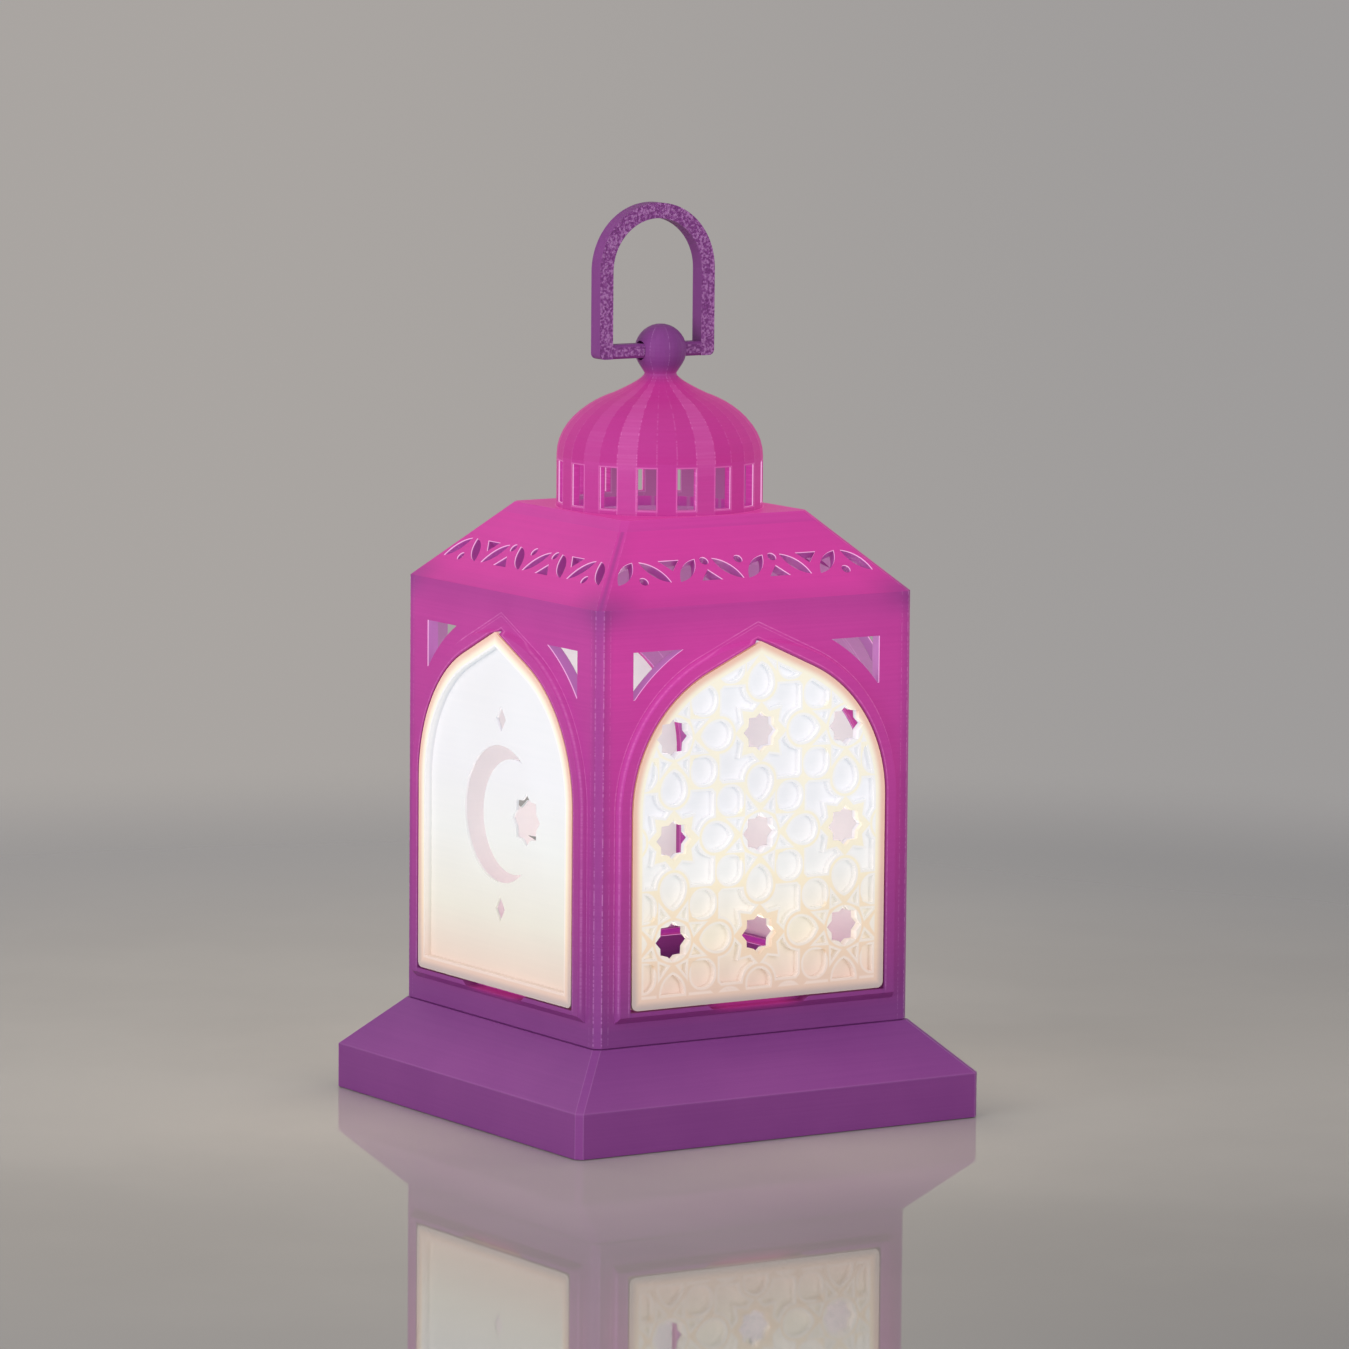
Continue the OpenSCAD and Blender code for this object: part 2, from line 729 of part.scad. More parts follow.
// The crescent, the star beside it and the drops around them
module moon_pattern() {
    translate([0, moon_z]) {
        difference() {
            circle(moon_r);
            translate([moon_bite_shift, 0]) circle(moon_bite_r);
        }
        translate([moon_star_shift, 0]) star(moon_star_r, moon_star_r * star_notch_r / star_r);
        for (side = [-1, 1]) translate([0, side * (moon_r + drop_r * 2)])
            polygon(drop_r * [[drop_half_share, 0], [0, 1], [-drop_half_share, 0], [0, -1]]);
    }
}

// A panel with the crescent pattern in a plain sunk field inside its rim
module moon_panel() {
    color("whitesmoke") translate([0, 0, base_h]) difference() {
        on_face(panel_proud, panel_back) arch(0, panel_corner);
        on_face(panel_proud + overrun, field_drop - panel_proud) arch(-rim_w);
        on_face(overrun, wall_t) moon_pattern();
    }
}

module front_panel() {
    star_panel();
}

module right_panel() {
    on_wall(1) star_panel();
}

module back_panel() {
    on_wall(2) moon_panel();
}

module left_panel() {
    on_wall(3) moon_panel();
}

// The ring: two legs and an arch, closed by a bar that is slit inside the ball
module carry_ring() {
    leg_x = ring_w / 2 - ring_leg;
    color("purple") translate([-ring_shift, 0, base_h + ball_z]) difference() {
        union() {
            translate([0, ring_d / 2, 0]) rotate([90, 0, 0]) linear_extrude(ring_d) difference() {
                union() {
                    translate([0, ring_arch_z]) circle(ring_w / 2);
                    translate([-ring_w / 2, ring_corner - bar_h / 2])
                        square([ring_w, ring_arch_z + bar_h / 2 - ring_corner]);
                    translate([ring_corner - ring_w / 2, -bar_h / 2])
                        square([ring_w - 2 * ring_corner, bar_h / 2]);
                    for (side = [-1, 1])
                        translate([side * (ring_w / 2 - ring_corner), ring_corner - bar_h / 2])
                            circle(ring_corner);
                }
                translate([0, ring_arch_z]) circle(leg_x);
                translate([-leg_x, -bar_h]) square([2 * leg_x, ring_arch_z + bar_h]);
            }
            intersection() {
                cube([ring_w - ring_leg, ring_d, bar_h], center = true);
                rotate([0, 90, 0]) cylinder(ring_w, r = bar_r, center = true);
            }
        }
        cube([bar_slit, ring_d * 2, bar_h * 2], center = true);
    }
}

// The floor of the base, under the lamp
module base_floor() {
    color("indigo") linear_extrude(floor_t) cut_square(base_w, base_cut);
}

// The flared body of the base with the lip that keeps the housing in place
module base() {
    color("indigo") difference() {
        union() {
            translate([0, 0, floor_t]) linear_extrude(base_band_h - floor_t) cut_square(base_w, base_cut);
            translate([0, 0, base_band_h])
                sloped_block(base_w, base_top_w, base_cut, base_h - base_band_h);
            translate([0, 0, base_h - lip_h]) linear_extrude(lip_h * 2) difference() {
                cut_square(lip_w, edge_cut);
                cut_square(lip_w - 2 * lip_t, edge_cut);
            }
        }
        translate([0, 0, floor_t - overrun]) cylinder(base_h, r = well_r + well_wall);
    }
}

// The round wall of the well that the lamp drops into
module well_ring() {
    color("indigo") translate([0, 0, floor_t]) linear_extrude(base_h - floor_t) difference() {
        circle(well_r + well_wall);
        circle(well_r);
    }
}

// Puts a lamp piece on the well's floor, raised by a height
module in_lamp(height = 0) {
    translate([0, 0, floor_t + height]) children();
}

// Part of a flat ring about the lamp's axis
module ring_part(inner_r, outer_r, thickness, from, angle) {
    rotate([0, 0, from]) rotate_extrude(angle = angle)
        translate([inner_r, 0]) square([outer_r - inner_r, thickness]);
}

// Repeats a piece around the lamp's axis
module around(count) {
    for (k = [0 : count - 1]) rotate([0, 0, 360 * k / count]) children();
}

// The bay that holds one cell, and whether that cell lies turned round
module in_bay(k) {
    in_lamp(cell_z) translate([(k - 2) * cell_pitch, 0, 0]) mirror([0, k % 2 == 0 ? 1 : 0, 0]) children();
}

// The round wall of the lamp, with the bayonet slots for the battery cover
module lamp_case() {
    color("gainsboro") in_lamp() difference() {
        cylinder(case_h, r = lamp_r);
        translate([0, 0, -overrun]) cylinder(case_h + 2 * overrun, r = case_r);
        around(lug_count) {
            translate([0, 0, cover_top - lug_t - lamp_gap])
                ring_part(case_r - overrun, case_r + lug_reach + lamp_gap, lug_t + 2 * lamp_gap,
                    -lug_angle / 2 - lug_spare_angle, lug_angle + cover_turn + 2 * lug_spare_angle);
            translate([0, 0, -overrun])
                ring_part(case_r - overrun, case_r + lug_reach + lamp_gap, cover_top + overrun,
                    cover_turn - lug_angle / 2 - lug_spare_angle, lug_angle + 2 * lug_spare_angle);
        }
    }
}

// The deck inside the case: pillars for the board above, and end walls for the cells below
module lamp_tray() {
    bay_w = cell_pitch * 3;
    color("gainsboro") in_lamp() difference() {
        union() {
            translate([0, 0, deck_z]) cylinder(deck_t, r = case_r);
            around(screw_count) translate([screw_ring_r, 0, deck_top]) cylinder(pillar_h, r = pillar_r);
            for (end = [0, 1]) mirror([0, end, 0])
                translate([-bay_w / 2, bay_y + contact_t, cell_foot])
                    cube([bay_w, case_t, deck_z - cell_foot]);
        }
        around(screw_count) translate([screw_ring_r, 0, deck_top])
            cylinder(screw_len, r = screw_r + pin_gap);
    }
}

module lamp_bezel() {
    lip_r = lens_dome_r + lamp_gap;
    color("silver") in_lamp() rotate_extrude()
        polygon([
            [case_r, case_h], [lamp_r, case_h], [lamp_r, flange_top], [lamp_r - lens_t, bezel_top],
            [lip_r, bezel_top], [lip_r, flange_top], [case_r, flange_top]
        ]);
}

// The frosted lens: a flange, a shallow dome and the post that presses the button
module lamp_lens() {
    color("white") in_lamp() {
        ring_base = lens_dome_r - lens_t;
        difference() {
            union() {
                translate([0, 0, lens_seat_z]) cylinder(lens_t, r = lens_r);
                intersection() {
                    translate([0, 0, lens_seat_z]) cylinder(lens_rise + lens_t, r = lens_dome_r);
                    translate([0, 0, lens_top - lens_sphere_r]) sphere(lens_sphere_r);
                }
            }
            intersection() {
                translate([0, 0, lens_seat_z - overrun])
                    cylinder(lens_rise + lens_t + overrun, r = ring_base);
                translate([0, 0, lens_top - lens_sphere_r]) sphere(lens_sphere_r - lens_t);
            }
        }
        translate([0, 0, button_top])
            cylinder(lens_top - lens_t / 2 - button_top, r = button_r * post_share);
    }
}

module lamp_reflector() {
    color("white") in_lamp() rotate_extrude()
        polygon([
            [board_r - reflector_t, board_top], [board_r, board_top],
            [lens_dome_r, reflector_top - reflector_t], [lens_dome_r, reflector_top],
            [board_r - reflector_t, board_top + reflector_t]
        ]);
}

module led_board() {
    color("seagreen") in_lamp(board_z) difference() {
        cylinder(board_t, r = board_r);
        around(screw_count) translate([screw_ring_r, 0, -overrun])
            cylinder(board_t + 2 * overrun, r = screw_r + pin_gap);
    }
}

module led_chips() {
    color("khaki") in_lamp(board_top) rotate([0, 0, 180 / led_count]) around(led_count)
        translate([led_ring_r - led_w / 2, -led_w / 2, 0]) cube([led_w, led_w, led_h]);
}

module push_switch() {
    color("dimgray") in_lamp(board_top) difference() {
        translate([-switch_w / 2, -switch_w / 2, 0]) cube([switch_w, switch_w, switch_h]);
        translate([0, 0, lamp_gap]) cylinder(switch_h, r = button_r + pin_gap);
    }
}

module switch_button() {
    foot_z = board_top + press + 2 * lamp_gap;
    color("black") in_lamp(foot_z) cylinder(button_top - foot_z, r = button_r);
}

module board_screws() {
    color("silver") in_lamp(deck_top) around(screw_count) translate([screw_ring_r, 0, 0]) {
        cylinder(screw_len, r = screw_r);
        translate([0, 0, screw_len]) cylinder(screw_r, r = screw_head_r);
    }
}

// A cell with its button, lying along the bay
module battery() {
    color("goldenrod") translate([0, bay_y - cell_button_len, 0]) rotate([90, 0, 0]) {
        cylinder(cell_len, r = cell_r);
        translate([0, 0, -cell_button_len]) cylinder(cell_button_len, r = cell_button_r);
    }
}

module battery_1() {
    in_bay(1) battery();
}

module battery_2() {
    in_bay(2) battery();
}

module battery_3() {
    in_bay(3) battery();
}

// The tapered springs behind the flat ends of the cells
module contact_springs() {
    foot_r = cell_r - contact_t * 2;
    tip_r = cell_button_r + contact_t;
    for (k = [1 : 3]) color("silver") in_bay(k) translate([0, -bay_y, 0]) rotate([-90, 0, 0])
        difference() {
            cylinder(spring_len, foot_r, tip_r);
            translate([0, 0, -overrun]) cylinder(spring_len + 2 * overrun, r = cell_button_r);
        }
}

// The plates at the ends of the bays: at each end one joins two cells and one serves the third
module contact_plates() {
    plate_h = cell_d - 2 * contact_t;
    color("silver") in_lamp(cell_z) for (end = [0, 1]) rotate([0, 0, 180 * end])
        for (plate = plate_shares)
            translate([plate[0] * cell_pitch + contact_t, bay_y, -plate_h / 2])
                cube([plate[1] * cell_pitch - 2 * contact_t, contact_t, plate_h]);
}

module battery_cover() {
    color("gainsboro") in_lamp(cover_recess) {
        cylinder(cover_t, r = case_r - lamp_gap);
        around(lug_count) translate([0, 0, cover_t - lug_t])
            ring_part(case_r - lamp_gap * 2, case_r + lug_reach, lug_t, -lug_angle / 2, lug_angle);
    }
}

base_floor();
base();
well_ring();
housing();
front_slope();
right_slope();
back_slope();
left_slope();
roof_plate();
drum();
dome();
front_panel();
right_panel();
back_panel();
left_panel();
carry_ring();
lamp_case();
lamp_tray();
lamp_bezel();
lamp_lens();
lamp_reflector();
led_board();
led_chips();
push_switch();
switch_button();
board_screws();
battery_1();
battery_2();
battery_3();
contact_springs();
contact_plates();
battery_cover();
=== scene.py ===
# %% [markdown]
# A square lantern, printed in purple plastic and lit from inside.
#
# The real lantern has a flared base, four walls with white pierced panels pushed into them, a hipped roof,
# a windowed drum, a faceted dome that ends in a ball, and a ring to carry it by. A round push light in the
# base makes the thin walls glow magenta and the white panels glow like paper.
#
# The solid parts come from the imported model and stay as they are. This script gives each of them a finish
# with the detail that the real one shows, and sets up the floor, the light and the camera.

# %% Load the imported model
import math

import bpy
import numpy as np
from mathutils import Matrix

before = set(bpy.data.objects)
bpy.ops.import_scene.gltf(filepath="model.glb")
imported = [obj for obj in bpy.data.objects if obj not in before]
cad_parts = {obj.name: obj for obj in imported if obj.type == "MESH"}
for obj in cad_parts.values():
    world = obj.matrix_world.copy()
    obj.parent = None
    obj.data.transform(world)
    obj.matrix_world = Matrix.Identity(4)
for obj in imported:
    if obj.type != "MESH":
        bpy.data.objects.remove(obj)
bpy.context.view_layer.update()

# %% [markdown]
# The camera stands where the photographer stood. Its direction, distance and lens were worked out from the
# straight edges of the lantern, so a point of the model lands on the same point of the picture. The lens is
# a long one, seen from nearly two and a half metres away, which keeps the upright edges almost parallel.
#
# Blender's cameras and lamps both look along their own minus z, so one small helper places either: it takes
# the direction that the back points in, and finds the other two from it.

# %% Directions
def level_axes(back):
    """The level direction to the right and the one upwards, for a thing whose back points one way."""
    across = np.cross([0, 0, 1], back)
    across /= np.linalg.norm(across)
    return across, np.cross(back, across)


def stand(thing, back, place, roll=0.0):
    """Puts a camera or lamp at a place, its back one way and its top upwards, and then turned by a roll."""
    level_right, level_up = level_axes(back)
    right = np.cos(roll) * level_right + np.sin(roll) * level_up
    up = np.cos(roll) * level_up - np.sin(roll) * level_right
    rows = np.stack([right, up, back, place], axis=1).tolist()
    thing.matrix_world = Matrix([*rows, [0, 0, 0, 1]])


# %% Camera
turn, lift, roll = np.radians([32.34, 7.303, 0.4704])
distance, picture_side, focal_pixels = 2.4146, 1349, 7859.85
aim_right, aim_up, aim_height = 0.00504, 0.10236, 0.029
camera_back = np.array([-np.sin(turn) * np.cos(lift), -np.cos(turn) * np.cos(lift), np.sin(lift)])
camera_right, camera_up = level_axes(camera_back)
target = camera_right * aim_right + camera_up * aim_up + np.array([0, 0, aim_height])

camera_data = bpy.data.cameras.new("camera")
camera_data.sensor_width = 36
camera_data.lens = focal_pixels / picture_side * camera_data.sensor_width
camera_data.clip_start, camera_data.clip_end = 0.05, 50
camera = bpy.data.objects.new("camera", camera_data)
stand(camera, camera_back, target + camera_back * distance, roll)
bpy.context.scene.collection.objects.link(camera)
bpy.context.scene.camera = camera
bpy.context.scene.view_settings.view_transform = "Standard"
print("lens in mm:", round(camera_data.lens, 2))

# %% [markdown]
# A finish is a graph of nodes, and most of what follows is sums on places: how far a point is from an edge,
# how high it is, which facet it is on. Writing each sum as a node by hand makes long code. So a small class
# holds one socket of the graph, and a plus, minus or times on it adds the node. The formulas then read as
# formulas.

# %% Adding a node
def add_node(tree, kind, inputs=None, **settings):
    """A node of one kind, with its settings, and its inputs set to a number or joined to a socket."""
    made = tree.nodes.new(kind)
    for name, value in settings.items():
        setattr(made, name, value)
    for key, value in (inputs or {}).items():
        if isinstance(value, Number):
            value = value.socket
        if isinstance(value, bpy.types.NodeSocket):
            tree.links.new(value, made.inputs[key])
        else:
            made.inputs[key].default_value = value
    return made


# %% Sums over the surface
class Number:
    """A number that differs from place to place. Each sum on it adds one node and gives a new number."""

    def __init__(self, socket):
        self.socket = socket
        self.tree = socket.id_data

    def work(self, operation, other=0.0, swapped=False):
        pair = {0: other, 1: self} if swapped else {0: self, 1: other}
        return Number(add_node(self.tree, "ShaderNodeMath", pair, operation=operation).outputs[0])

    def __add__(self, other):
        return self.work("ADD", other)

    __radd__ = __add__

    def __sub__(self, other):
        return self.work("SUBTRACT", other)

    def __rsub__(self, other):
        return self.work("SUBTRACT", other, swapped=True)

    def __mul__(self, other):
        return self.work("MULTIPLY", other)

    __rmul__ = __mul__

    def __abs__(self):
        return self.work("ABSOLUTE")

    def least(self, other):
        return self.work("MINIMUM", other)

    def most(self, other):
        return self.work("MAXIMUM", other)

    def long(self, other):
        """The length of the slanting side, when this number and the other are the two short sides."""
        return (self * self + other * other).work("SQRT")

    def climb(self, start, end):
        """How far the number is on its way from start to end, from 0 to 1."""
        ramp = add_node(self.tree, "ShaderNodeMapRange", {"Value": self, "From Min": start, "From Max": end})
        return Number(ramp.outputs["Result"])

    def fade(self, start, end, low=0.0, high=1.0):
        """Low before start, high after end, and an S-shaped step between them."""
        inputs = {"Value": self, "From Min": start, "From Max": end, "To Min": low, "To Max": high}
        ramp = add_node(self.tree, "ShaderNodeMapRange", inputs, interpolation_type="SMOOTHSTEP")
        return Number(ramp.outputs["Result"])

    def near(self, middle, reach):
        """One where the number is at the middle, and down to nothing at a reach to either side."""
        return abs(self - middle).fade(0.0, reach, 1.0, 0.0)


# %% [markdown]
# Every pattern reads the Object coordinates, turned into millimetres of the lantern's own frame, so a pattern
# is tied to real heights and sizes and stays put when a piece moves. Generated coordinates would stretch with
# the piece, and coordinates of the window or camera would slide over it as one walks around.

# %% Starting and giving a finish
def start_finish(name, roughness, **constants):
    """An empty finish: its tree, its shader, the place as a vector in metres, and x, y and z in millimetres."""
    finish = bpy.data.materials.new(name)
    finish.use_nodes = True
    tree = finish.node_tree
    shader = tree.nodes["Principled BSDF"]
    shader.inputs["Roughness"].default_value = roughness
    for socket, value in constants.items():
        shader.inputs[socket.replace("_", " ")].default_value = value
    place = add_node(tree, "ShaderNodeTexCoord").outputs["Object"]
    parts = add_node(tree, "ShaderNodeSeparateXYZ", {0: place}).outputs
    return finish, tree, shader, place, [Number(part) * 1000 for part in parts]


def join(tree, shader, **sockets):
    """Joins sockets or numbers to the shader's inputs of the same names."""
    for name, socket in sockets.items():
        tree.links.new(getattr(socket, "socket", socket), shader.inputs[name.replace("_", " ")])


def give(finish, *nodes):
    """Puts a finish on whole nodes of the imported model."""
    for name in nodes:
        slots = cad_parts[name].data.materials
        slots.clear()
        slots.append(finish)
    print(finish.name, "->", ", ".join(nodes))


# %% Noise, colours and bumps
def noise(tree, place, grains, detail=2.0, seed=0.0):
    """Noise from 0 to 1. Grains is how many fit in a metre along x, y and z, so it can be stretched."""
    inputs = {"Vector": place, "Scale": grains, "Location": (seed, seed, seed)}
    moved = add_node(tree, "ShaderNodeMapping", inputs).outputs[0]
    made = add_node(tree, "ShaderNodeTexNoise", {"Vector": moved, "Scale": 1.0, "Detail": detail})
    return Number(made.outputs[0])


def mix(tree, share, first, second):
    """A colour between two others, each of which is a colour or a socket."""
    return add_node(tree, "ShaderNodeMix", {0: share, 6: first, 7: second}, data_type="RGBA").outputs[2]


def scaled(tree, colour, strength):
    """A colour times a number."""
    return add_node(tree, "ShaderNodeVectorMath", {0: colour, 3: strength}, operation="SCALE").outputs[0]


def by_height(tree, z, stops):
    """A colour that changes with height. Stops are pairs of a height in millimetres and a colour."""
    low, high = stops[0][0], stops[-1][0]
    node = add_node(tree, "ShaderNodeValToRGB", {"Fac": z.climb(low, high)})
    marks = node.color_ramp.elements
    for height, colour in stops[1:-1]:
        marks.new((height - low) / (high - low)).color = (*colour, 1)
    marks[0].color, marks[len(stops) - 1].color = (*stops[0][1], 1), (*stops[-1][1], 1)
    return node.outputs[0]


def bumped(tree, height, strength, depth):
    """The surface's direction after a bump, whose depth is in millimetres."""
    inputs = {"Height": height, "Strength": strength, "Distance": depth * 0.001}
    return add_node(tree, "ShaderNodeBump", inputs).outputs[0]


# %% [markdown]
# Some distances come back in several finishes. The body is square, so the larger of |x| and |y| says how far
# out a point is, and the smaller says how far along its wall it is. The panels and the mouldings around them
# share one pointed arch: a circle about a centre, whose top is cut by two straight lines that touch it.

# %% Distances on the square body, in millimetres
half_body, eave, cut_edge = 56.0, 160.6, 1.9
panel_foot = 40.2
arch_centre, arch_radius, tip_angle = 99.3, 44.9, math.radians(24.6)


def out_and_along(x, y):
    """How far out from the axis, square-wise, and how far along the wall from its middle."""
    return abs(x).most(abs(y)), abs(x).least(abs(y))


def arch_reach(along, z):
    """The radius of the pointed arch that goes through a point. Above the centre it is the distance from the
    centre, times the cosine of how far the point's angle from upright falls short of the tip's angle. Below
    it is the distance from the middle line."""
    above = (z - arch_centre).most(0.0)
    short = (tip_angle - along.work("ARCTAN2", above)).most(0.0)
    return along.long(above) * short.work("COSINE")


print("tip of the panels in mm:", round(arch_centre + arch_radius / math.cos(tip_angle), 1))

# %% [markdown]
# Printed plastic is laid down in level layers a fifth of a millimetre thick. Seen closely they are fine
# grooves, and seen from further off they are faint level bands, because no two layers come out quite alike.
# The grooves are a sine wave of the height that feeds the bump, and the bands are noise that is squeezed
# flat, so that it changes quickly with height and slowly along the wall.
#
# The light inside shines through the thin walls and comes out magenta. It would take very many samples to
# trace that light through the plastic, so the finish gives it off by itself, as painted light. Each piece says
# how strongly it glows from place to place, how deep a point lies behind the outer face, and where painted
# highlights run as fine pale lines. The cut edges of the openings get a pale painted light, and the inside of
# the wall a painted light that changes with height.

# %% Colours of the printed purple plastic
purple = (0.198, 0.043, 0.212, 1)
dark_purple = (0.18, 0.037, 0.198, 1)
pit_shade_purple = (0.1, 0.022, 0.11, 1)
# Pale purple is the colour of painted highlights and glints, and on the roof's top also of its print lines.
pale_purple = (0.42, 0.2, 0.44, 1)
deep_magenta = (0.14, 0.02, 0.13, 1)
magenta_light = (1.0, 0.03, 0.35)
rim_light = (0.78, 0.42, 0.64, 1)
cut_light = [
    (40, (0.25, 0.01, 0.1)),
    (112, (0.3, 0.02, 0.14)),
    (124, (0.29, 0.1, 0.25)),
    (156, (0.3, 0.12, 0.28)),
    (163, (0.17, 0.02, 0.12)),
    (180, (0.17, 0.02, 0.12)),
    (188, (0.4, 0.02, 0.2)),
]
inside_light = [
    (40, (0.2, 0.0, 0.12)),
    (90, (0.2, 0.04, 0.14)),
    (140, (0.24, 0.13, 0.2)),
    (200, (0.19, 0.05, 0.13)),
]

# %% Printed purple plastic
layer_height, groove_depth, groove_strength = 0.2, 0.07, 0.45
print_roughness, print_gloss = 0.42, 0.25
bands_along, bands_across = 14, 1500
full_depth_light = 0.35


def level_lines(tree, place, along, depth=0.35):
    """The grooves between layers, as a wave along one axis, roughened by noise so that no line is perfect."""
    wave = (along * (2 * math.pi / layer_height)).work("SINE")
    return wave * depth + noise(tree, place, (150, 150, 5000), 3)


def purple_print(name, glow=None, behind=None, thickness=0.0, lines=None, along=2, grain=None, deep=0.0):
    """The printed purple plastic, laid down in layers along one axis. Glow, behind and lines are functions of
    the place that give the strength of the painted light that comes through, the depth behind the outer face,
    and
    the share of fine pale lines: painted highlights, and on the roof's top also its print lines. Thickness is
    the wall's. Grain gives the bed's pebbles in the bump, with painted shade in their hollows and painted
    glints on their tops. Deep says how far the base colour is darkened towards deep magenta where the painted
    light is strong."""
    finish, tree, shader, place, xyz = start_finish(name, print_roughness, Specular_IOR_Level=print_gloss)
    squeezed = [bands_along] * 3
    squeezed[along] = bands_across
    bands = noise(tree, place, squeezed, 3)
    clouds = noise(tree, place, (40, 40, 40), 3, seed=3.0)
    tone = bands * 0.45 + clouds * 0.55
    colour = mix(tree, tone.fade(0.3, 0.7), dark_purple, purple)
    if glow:
        strength = glow(*xyz)
        # Where the painted light is strong, the base colour is darkened towards deep magenta, as part of that
        # painted light.
        colour = mix(tree, strength.fade(0.0, full_depth_light, 0.0, deep), colour, deep_magenta)
    height = level_lines(tree, place, xyz[along])
    if grain:
        pebbles, pit_shade, speck_glints = grain(tree, place)
        height = height + pebbles
        # The grain's pebbles are in the bump; its darker hollows are painted shade and its pale tops painted
        # glints.
        colour = mix(tree, speck_glints, mix(tree, pit_shade, colour, pit_shade_purple), pale_purple)
    # Where the pale lines run, the colour is a painted highlight, and the bump raises a fine line.
    if lines:
        shown = lines(tree, place, *xyz)
        height = height + shown * 1.5
        colour = mix(tree, shown * 0.6, colour, pale_purple)
    join(tree, shader, Base_Color=colour, Normal=bumped(tree, height, groove_strength, groove_depth))
    if glow:
        # The painted glow: magenta given off by the finish itself, a little uneven with the layers' tone.
        light = scaled(tree, magenta_light, strength * tone.fade(0.25, 0.75, 0.95, 1.05))
        if behind:
            depth = behind(*xyz)
            # Painted light on the cut faces, pale near the outer face and by height deeper in, and on the
            # inside face by height.
            cut = mix(tree, depth.fade(0.35, 0.7), rim_light, by_height(tree, xyz[2], cut_light))
            light = mix(tree, depth.fade(0.1, 0.2), light, cut)
            inner = depth.fade(thickness - 0.25, thickness - 0.1)
            light = mix(tree, inner, light, by_height(tree, xyz[2], inside_light))
        join(tree, shader, Emission_Color=light)
        shader.inputs["Emission Strength"].default_value = 1.0
    return finish


# %% [markdown]
# The four walls are thin, so the push light below shines through them, faintly at the foot and strongly near
# the top. The thick eave and the cut corners stay darker, and so does the narrow gap around each panel. Pale
# lines beside the corners and along the mouldings are painted highlights on those edges. All of it follows
# from the distances above, so nothing has to be painted by hand.

# %% How the walls glow
wall_thickness = 4.0
glow_foot, glow_full = 34.0, 138.0
left_wall_light, wall_light, notch_light = 0.3, 0.385, 0.2
notch_foot, notch_top = 36.2, 41.5
gap_radius, moulding_inside, moulding_step, moulding_outside = 45.2, 46.0, 49.2, 50.1


def wall_glow(x, y, z):
    """Nothing at the foot, growing up the wall, less under the thick eave, and least at its corners. It is
    strongest on the front wall's left. The finger notches below the panels are thin and glow by themselves."""
    _, along = out_and_along(x, y)
    corner = half_body - along
    rise = z.climb(glow_foot, glow_full).work("POWER", 0.75)
    rise = rise * x.fade(-half_body, 3 - half_body, left_wall_light, wall_light) * x.fade(-20, 50, 1.0, 0.84)
    eave_shade = z.fade(149, eave, 1.0, 0.78) - z.fade(151, eave) * corner.fade(15, 1) * 0.33
    edge_shade = corner.fade(0.5, 6, 0.55, 1.0)
    notch = z.fade(notch_foot, 39.5) * z.fade(notch_top, 39.8) * along.fade(19, 8) * notch_light
    gap = arch_reach(along, z).near(gap_radius, 0.7) * 0.6
    return rise * eave_shade * edge_shade * (1 - gap) + notch


def wall_depth(x, y, z):
    """Depth behind the wall's face, or behind the flat cut at a corner, whichever is less. Nothing counts as
    deep low down, where the finger notches are, and in the narrow gap around a panel."""
    out, along = out_and_along(x, y)
    face = half_body - out
    cut = (2 * half_body - cut_edge - out - along) * (1 / math.sqrt(2))
    depth = face.least(cut)
    past_gap = arch_reach(along, z).fade(gap_radius + 0.4, moulding_inside + 0.2)
    past_wall = depth.fade(wall_thickness - 1.0, wall_thickness - 0.3)
    return depth * past_gap.most(past_wall) * z.fade(notch_top - 0.5, notch_top + 0.5)


def wall_edge_highlights(tree, place, x, y, z):
    """Painted highlights: pale lines beside each cut corner and along the mouldings around the panels, broken
    up by noise.
    """
    _, along = out_and_along(x, y)
    corner = half_body - along
    reach = arch_reach(along, z)
    # The noise breaks the painted highlights into glints.
    bead_glints = noise(tree, place, (60, 60, 1300), 2, seed=7.0).fade(0.42, 0.6)
    corners = corner.near(cut_edge, 0.3).most(corner.near(4.1, 0.25) * 0.5)
    arches = reach.near(moulding_inside, 0.3).most(reach.near(moulding_step, 0.22) * 0.7)
    arches = arches.most(reach.near(moulding_outside, 0.3)) * z.fade(38, 41)
    return corners * bead_glints + arches * (bead_glints * 0.5 + 0.5)


give(purple_print("glowing wall print", wall_glow, wall_depth, wall_thickness, wall_edge_highlights), "housing")

# %% [markdown]
# The roof's slopes stand in the full light of the lamp and glow almost evenly, so their own purple shows
# less. The hips between them are thick and stay darker, with a row of small painted highlights where the
# layers step in.

# %% How the slopes glow
roof_run, roof_rise, slope_thickness = 23.2, 23.5, 3.4
roof_side = math.hypot(roof_run, roof_rise)
slope_light = 0.45


def roof_glow(x, y, z):
    """Strong all over, weaker along the hips, and weakest at the corners of the eave."""
    out, along = out_and_along(x, y)
    hip = out - along
    low = z.fade(eave, eave + 5, 0.85, 1.0)
    corner = z.fade(eave + 8, eave) * hip.fade(18, 2) * 0.36
    return (low - corner) * hip.fade(0.0, 1.5, 0.55, 0.95) * hip.fade(2, 8, 0.95, 1.0) * slope_light


def roof_depth(x, y, z):
    """Depth behind the slope, or behind the flat cut along a hip, whichever is less. The slope's line moves
    inwards with height, and the depth is how far in a point lies from it, times the slope's sine."""
    out, along = out_and_along(x, y)
    line = half_body - (z - eave) * (roof_run / roof_rise)
    cut = (2 * line - cut_edge - out - along) * 0.6
    return ((line - out) * (roof_rise / roof_side)).least(cut)


